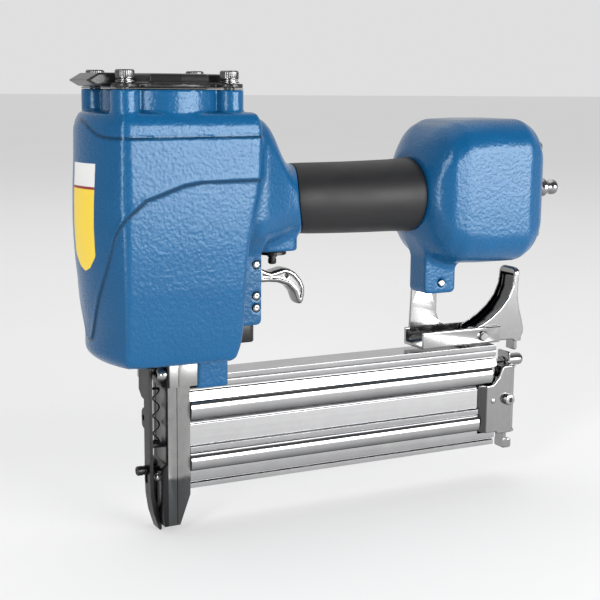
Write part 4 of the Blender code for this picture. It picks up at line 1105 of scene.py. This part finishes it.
def safety():
    """Pressed steel foot, link and leg that slide up when the nose meets the work."""
    low, high = span("contact_foot")
    face, back = FOOT_FACE, FOOT_BACK
    side = [(face, high[2]), (face, 24.0), (-10.2, 16.0), (-8.8, 7.0), (-6.6, 0.0),
            (-5.4, low[2]), (-3.9, low[2]), (-3.9, 3.0), (-5.6, 8.6), (-7.6, 14.6),
            (back, 21.0), (back, high[2])]
    foot = prism(softened(side, 3.0, 3), -4.2, 4.2, "y")
    lobe = prism(softened([(3.0, 53.0), (7.4, 54.6), (8.0, 57.0), (8.0, 62.6), (6.6, 64.6),
                           (3.0, 66.4)], 2.0), face, back, "x")
    ear = prism(softened([(3.0, 70.0), (8.0, 71.0), (12.2, 74.6), (12.2, high[2]),
                          (3.0, high[2])], 1.6), face, back, "x")
    tab = box((face + 0.6, -2.6, 43.6), (-2.2, 2.6, 45.8))
    foot = unite(foot, lobe, ear, tab)
    foot = carve(foot, rod((5.4, 59.6), 1.7, -14, -5, "x"))
    slot = softened([(-0.5, 22.7), (3.3, 22.7), (3.3, 32.6), (-0.5, 32.6)], 1.9, 6)
    foot = carve(foot, prism(slot, -14, -5, "x"))
    collect(ease(foot, 0.3), "work_contact", "contact_safety", DARK, ["contact_foot"])
    low, high = span("safety_leg")
    leg = softened([(low[0], 99.0), (52.4, 99.0), (52.4, 129.0), (49.4, high[2]),
                    (42.0, high[2]), (42.0, 112.0), (low[0], 108.0)], 1.6)
    leg = prism(leg, -4.9, 4.9, "y")
    slot = softened([(45.3, 112.9), (50.3, 112.9), (50.3, 130.3), (45.3, 130.3)], 2.4, 6)
    leg = carve(leg, prism(slot, -10, 10, "y"))
    collect(ease(leg, 0.4), "safety_arm", "contact_safety", DARK, ["safety_leg"])


def coil(name, joint_name, turns, wire=0.5):
    """Open coil spring in the space of its CAD sleeve, pressed together by its joint."""
    joint = next(j for j in frame["record"]["behaviour"]["joints"] if j["name"] == joint_name)
    pressed = joint["deforming_nodes"][0]
    node = pressed["node"]
    low, high = span(node)
    x, y, _ = centre_of(node)
    reach = (high[0] - low[0]) / 2 - wire
    bottom, top = low[2] + wire, high[2] - wire
    sections = []
    steps = int(turns * 20)
    for i in range(steps + 1):
        t = i / steps
        angle = 2 * math.pi * turns * t
        flat = max(0.0, min(1.0, (t * turns - 1) / max(turns - 2, 0.5)))
        height = bottom + (top - bottom) * (0.04 * t + 0.96 * flat)
        out = Vector((math.cos(angle), math.sin(angle), 0))
        centre = Vector((x, y, height)) + out * reach
        sections.append([centre + out * wire * math.cos(a) + Vector((0, 0, wire * math.sin(a)))
                         for a in np.linspace(0, 2 * math.pi, 8, endpoint=False)])
    spring = collect(lofted(sections), name, "body", DARK, [node], sharp=60)
    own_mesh(spring)


# ---------------------------------------------------------------- magazine

def bead(middle, low, high, root, proud, steps=14):
    """Rounded bead on the extrusion's side, from its lower edge to its upper edge."""
    points = []
    for step in range(steps + 1):
        angle = -math.pi / 2 + math.pi * step / steps
        height = middle + (high - middle if angle > 0 else middle - low) * math.sin(angle)
        points.append((root + proud * math.cos(angle), height))
    return points


def magazine_side():
    """Half section of the extrusion from its bottom edge to its top edge."""
    base = softened_run([(9.2, MAG_LOW[2]), (9.6, 19.8), (9.6, 22.6), (8.4, 23.0), (8.4, 24.2),
                         (10.6, 24.4), (10.6, 29.6)], 0.35)
    middle = softened_run([(9.6, 40.0), (10.8, 41.0), (10.8, 43.8), (9.2, 44.4), (9.2, 56.4),
                           (8.4, 56.8), (8.4, 57.6), (10.0, 58.0)], 0.3)
    upper = softened_run([(11.0, 70.0), (9.6, 75.0), (8.2, 75.5), (8.2, 76.7), (9.8, 77.1),
                          (9.8, 80.1), (9.2, 80.5), (9.8, 80.9), (9.8, 83.6),
                          (9.2, MAG_HIGH[2])], 0.3)
    return (base + bead(35.0, 30.0, 39.6, 10.2, 2.6) + middle
            + bead(65.0, 59.4, 70.0, 10.4, 2.4) + upper)


def softened_run(points, radius):
    """An open run of points with its inner corners rounded."""
    closed = softened([points[0], *points, points[-1]], radius, 3)
    return [p for i, p in enumerate(closed) if i == 0 or p != closed[i - 1]]


def magazine():
    half = magazine_side()
    outline = half + [(-y, z) for y, z in reversed(half)]
    rail = prism(outline, MAG_LOW[0], MAG_HIGH[0], "x")
    wall = 5.6
    cutters = [box((0, -wall, 20.0), (250, wall, 77.4)),
               box((0, -30, 77.3), (32.9, 30, 100))]
    for side in (-1, 1):
        low, high = sorted((side * 7.4, side * 20))
        cutters.append(box((205.0, low, 28.0), (250, high, 59.0)))
        cutters.append(box((214.0, low * 1.16, 58.0), (250, high * 1.16, 70.5)))
    for cutter in cutters:
        rail = carve(rail, cutter)
    return collect(rail, "magazine_rail", "body", EXTRUDED, ["magazine_body"], sharp=24)


def end_cap_field(x, y, z):
    """Folded steel cap round the extrusion's end, with a catch above and a tail below."""
    out, inner, rear = 12.6, 11.0, 232.4
    nose_in = np.maximum(0.0, 210.2 - x) * 0.95
    tail_in = np.maximum(0.0, x - 229.0) * 0.9
    wall = np.maximum(np.abs(np.abs(y) - (out + inner) / 2 + nose_in + tail_in) - 0.8,
                      slab(x, 205.4, rear - 0.6))
    side = polygon(x, z, softened([(205.4, 28.3), (218.8, 28.3), (218.8, 27.0), (rear, 27.0),
                                   (rear, 70.0), (222.0, 70.0), (219.4, 63.6), (214.6, 58.7),
                                   (205.4, 58.7)], 2.6, 3))
    sides = both(wall, side, 0.4)
    back = both(rect(y, z - 48.5, out - 2.2, 21.5, 2.2), slab(x, rear - 1.6, rear), 0.5)
    roof = both(rect(x - 227.2, y, 5.2, out - 0.4, 1.5), slab(z, 68.4, 70.0), 0.5)
    floor = both(rect(x - 225.6, y, 6.8, out - 0.4, 1.5), slab(z, 27.0, 28.6), 0.5)
    catch = both(rect(y, z - 70.0, 6.0, 7.3, 1.4), slab(x, rear - 1.6, rear), 0.5)
    tail = both(rect(x - 232.8, z - 17.0, 3.4, 3.0, 1.4), np.abs(y) - 4.2, 0.5)
    web = both(rect(y, z - 22.0, 4.2, 7.0, 0.6), slab(x, 229.4, rear), 0.5)
    shape = sides
    for part in (back, roof, floor, catch, web, tail):
        shape = either(shape, part, 0.7)
    return shape


def end_cap():
    low, high = span("magazine_end_cap")

    def field(x, y, z):
        bolt = np.hypot(x - CAP_BOLT[0], z - CAP_BOLT[1]) - 2.5
        knob = np.maximum(np.hypot(y, z - KNOB_Z) - 2.3, 225.0 - x)
        return most(end_cap_field(x, y, z), -bolt, -knob)

    # Painted shade over the cap's inward-bent front, where the recess falls in shade.
    def painted_recess_shade(x, y, z):
        return 0.75 * smooth_step((210.6 - x) / 0.8)

    collect(marked(skin(field, low, high, 0.5), painted_recess_shade), "magazine_cap", "magazine", SATIN,
            ["magazine_end_cap"], sharp=50)
    x, z = CAP_BOLT
    a, b = (corner[1] for corner in span("magazine_end_bolt"))
    bolt = turned([(0, a), (2.6, a), (3.3, a + 0.3), (3.5, a + 0.9), (3.5, -12.95),
                   (2.2, -12.95), (2.2, b - 0.5), (1.8, b), (0, b)], (x, 0, z), "y")
    bolt = carve(bolt, prism(circle((x, z), 1.7, 6), a - 1, a + 1.6, "y"))
    rivet = turned([(0, -13.5), (0.9, -13.4), (1.7, -13.0), (1.9, -12.4), (0, -12.4)],
                   (215.0, 0, 48.7), "y")
    collect(merged(bolt, rivet), "cap_bolt", "magazine", ZINC, ["magazine_end_bolt"])
    a, b = (corner[0] for corner in span("magazine_pull_knob"))
    knob = turned([(0, a), (2.0, a), (2.0, 232.7), (3.4, 232.7), (3.9, 233.2), (3.9, b - 3.2),
                   (3.6, b - 1.6), (2.6, b - 0.5), (1.2, b), (0, b)], (0, 0, KNOB_Z), "x")
    collect(knob, "pull_knob", "magazine", POLISHED, ["magazine_pull_knob"])


# ---------------------------------------------------------------- bracket and latch

def bracket():
    """Folded channel on top of the magazine, with a leg up to the chamber's lug."""
    low, high = span("rear_bracket")
    wall, sheet = high[1], 1.8
    floor, rim = low[2], 96.0
    section = [(-wall, floor), (wall, floor), (wall, rim), (wall - sheet, rim),
               (wall - sheet, floor + sheet), (sheet - wall, floor + sheet),
               (sheet - wall, rim), (-wall, rim)]
    channel = prism(softened(section, 1.1, 4), low[0], high[0], "x")
    leg = softened([(165.6, 88.0), (166.6, 110.0), (167.4, high[2]), (185.0, high[2]),
                    (185.0, 104.0), (187.0, 98.6), (191.0, 96.0), (191.0, 88.0)], 3.0, 5)
    whole = unite(channel, prism(leg, wall - sheet, wall, "y"))
    window = wall - sheet - 0.1
    for cutter in (box((197.0, -window, 80.0), (225.0, window, 98.0)),
                   rod(LATCH_PIVOT, 3.2, -20, 20, "y"), rod(LUG_HOLE, 2.4, -20, 20, "y")):
        whole = carve(whole, cutter)
    return collect(ease(whole, 0.3), "magazine_bracket", "body", SHEET, ["rear_bracket"])


def latch():
    """Thumb lever pressed from one sheet: curved pad between two cheeks."""
    x0, z0 = LATCH_PIVOT
    low, high = span("latch_lever")
    pad = [(202.6, 95.6), (208.5, 97.8), (215.0, 101.4), (221.5, 106.4), (227.3, 113.0),
           (230.4, 119.8), (231.4, 126.0), (231.6, 130.4), (232.8, high[2] - 0.2)]
    back = [(234.4, high[2] - 0.6), (235.4, 130.0), (234.6, 122.0), (234.4, 114.0),
            (235.8, 106.0), (238.2, 98.4), (239.7, 92.6), (239.6, 89.6), (238.2, 87.4),
            (237.8, low[2]), (233.0, low[2]), (233.0, 85.9), (215.0, 85.9)]
    hub = [(x0 + 4.5 * math.cos(math.radians(a)), z0 + 4.5 * math.sin(math.radians(a)))
           for a in (-80, -110, -145, -175)]
    outline = softened(pad + back + hub, 2.5, 3)
    hollow = softened([(196.0, 89.4), (204.6, 91.6), (210.8, 93.4), (217.8, 97.2),
                       (225.0, 102.8), (231.2, 110.6), (234.2, 117.0), (245.0, 117.0),
                       (245.0, 89.0), (236.0, 88.0), (236.0, 76.0), (196.0, 76.0)], 2.0, 2)
    trough = softened([(196.0, 100.0), (208.0, 106.0), (218.0, 116.0), (226.0, 127.8),
                       (231.0, 128.2), (233.7, 126.0), (232.8, 118.6), (229.6, 111.4),
                       (223.8, 104.0), (216.8, 98.6), (210.0, 94.9), (204.0, 93.0),
                       (196.0, 90.8)], 2.0, 2)

    def field(x, y, z):
        body = both(polygon(x, z, outline), rect(y, z - 100.0, 8.4, high[2] - 100.0, 5.0), 0.75)
        inside = np.maximum(polygon(x, z, hollow), np.abs(y) - 6.8)
        open_front = both(polygon(x, z, trough), np.abs(y) - 6.9, 0.6)
        trim = np.maximum(rect(x - 237.0, z - 76.0, 5.0, 8.6, 0.5), 4.6 - np.abs(y))
        bore = np.hypot(x - x0, z - z0) - 2.95
        return most(body, -inside, -open_front, -trim, -bore)

    # Painted shade inside the lever's open front trough, between the cheeks.
    def painted_recess_shade(x, y, z):
        return (np.abs(y) < 6.95) * smooth_step(0.6 - polygon(x, z, trough) / 0.8)

    bm = marked(skin(field, low, high, 0.5), painted_recess_shade)
    return collect(bm, "thumb_lever", "latch", SATIN, ["latch_lever"], sharp=50)


# ---------------------------------------------------------------- studio

CAMERA_PLACE = (-249.35, -641.03, 242.35)
CAMERA_TURN = (27.5, 9.6, 0.5)  # degrees to the right, down, and rolled
LENS = 75.9
FLOOR_SIZE = 60.0
AIM = (-0.02, 0.0, 0.14)        # where the lamps point, in metres
# Each lamp: name, place, width, height (metres) and power.
LAMPS = (("main_softbox", (0.60, -1.15, 0.30), 1.05, 0.50, 22.0),
         ("left_strip", (-0.95, -0.75, 0.42), 0.22, 0.9, 8.0),
         ("top_softbox", (0.0, 0.6, 1.9), 2.4, 2.4, 15.0))


def studio():
    """Pale seamless floor, a large soft light, a side strip, a light above and a pale sky."""
    bpy.ops.mesh.primitive_grid_add(x_subdivisions=8, y_subdivisions=8, size=FLOOR_SIZE,
                                    location=(0, 0, CAD_BOX[0][2] - 0.0005))
    floor = bpy.context.object
    floor.name = "studio_floor"
    material, tree, shader, place = start_material("studio_floor")
    soft = noise(tree, place, 3.0, 2.0)
    tree.links.new(mixed(tree, soft, (0.50, 0.50, 0.50), (0.53, 0.53, 0.53)),
                   shader.inputs["Base Color"])
    shader.inputs["Roughness"].default_value = 0.95
    shader.inputs["Specular IOR Level"].default_value = 0.1
    shader.inputs["Emission Color"].default_value = (1.0, 1.0, 1.0, 1.0)
    shader.inputs["Emission Strength"].default_value = 0.40
    floor.data.materials.append(material)
    sky()
    for name, place, width, height, power in LAMPS:
        lamp = bpy.data.lights.new(name, "AREA")
        lamp.shape = "RECTANGLE"
        lamp.size = width
        lamp.size_y = height
        lamp.energy = power
        holder = bpy.data.objects.new(name, lamp)
        SCENE.collection.objects.link(holder)
        holder.location = place
        aim = Vector(AIM) - Vector(place)
        holder.rotation_euler = aim.to_track_quat("-Z", "Y").to_euler()


def sky():
    """Pale behind the object and darker on the camera's side, like a studio with one open wall."""
    world = bpy.data.worlds.new("studio")
    SCENE.world = world
    world.use_nodes = True
    tree = world.node_tree
    direction = coordinate(tree, tree.nodes.new("ShaderNodeTexCoord").outputs["Generated"], "Y")
    level = remap(tree, direction, -0.3, 0.40, 0.12, 0.74)
    tree.nodes["Background"].inputs["Color"].default_value = (1.0, 1.0, 1.0, 1.0)
    tree.links.new(level, tree.nodes["Background"].inputs["Strength"])


def camera():
    """Looks from the front left and a little above, as through a 76 mm lens."""
    azimuth, drop, roll = (math.radians(angle) for angle in CAMERA_TURN)
    ahead = Vector((math.sin(azimuth) * math.cos(drop), math.cos(azimuth) * math.cos(drop),
                    -math.sin(drop)))
    right = Vector((math.cos(azimuth), -math.sin(azimuth), 0.0))
    up = right.cross(ahead)
    across = right * math.cos(roll) + up * math.sin(roll)
    upright = up * math.cos(roll) - right * math.sin(roll)
    data = bpy.data.cameras.new("camera")
    data.sensor_width = 36.0
    data.lens = LENS
    holder = bpy.data.objects.new("camera", data)
    SCENE.collection.objects.link(holder)
    turn = Matrix((across, upright, -ahead)).transposed()
    place = ORIGIN + Vector(CAMERA_PLACE) * MM
    holder.matrix_world = Matrix.Translation(place) @ turn.to_4x4()
    bpy.context.scene.camera = holder


# ---------------------------------------------------------------- build

SCENE.view_settings.view_transform = "Standard"
camera()
studio()
dress_cad_nodes()
housing()
front_label()
cap()
cap_screws()
sleeve()
rear_cover()
plug()
trigger()
valve_parts()
for pin_node, pin_name in (("trigger_pin", "pivot_pin"), ("upper_guide_pin", "guide_pin_upper"),
                           ("lower_guide_pin", "guide_pin_lower")):
    cross_pin(pin_node, pin_name, 2.2)
nose()
nose_stud()
safety()
coil("foot_spring", "safety_slide", 5.0)
coil("button_spring", "valve_stem_slide", 4.0, 0.4)
coil("head_valve_coil", "head_valve_lift", 3.0, 0.9)
magazine()
end_cap()
bracket()
latch()
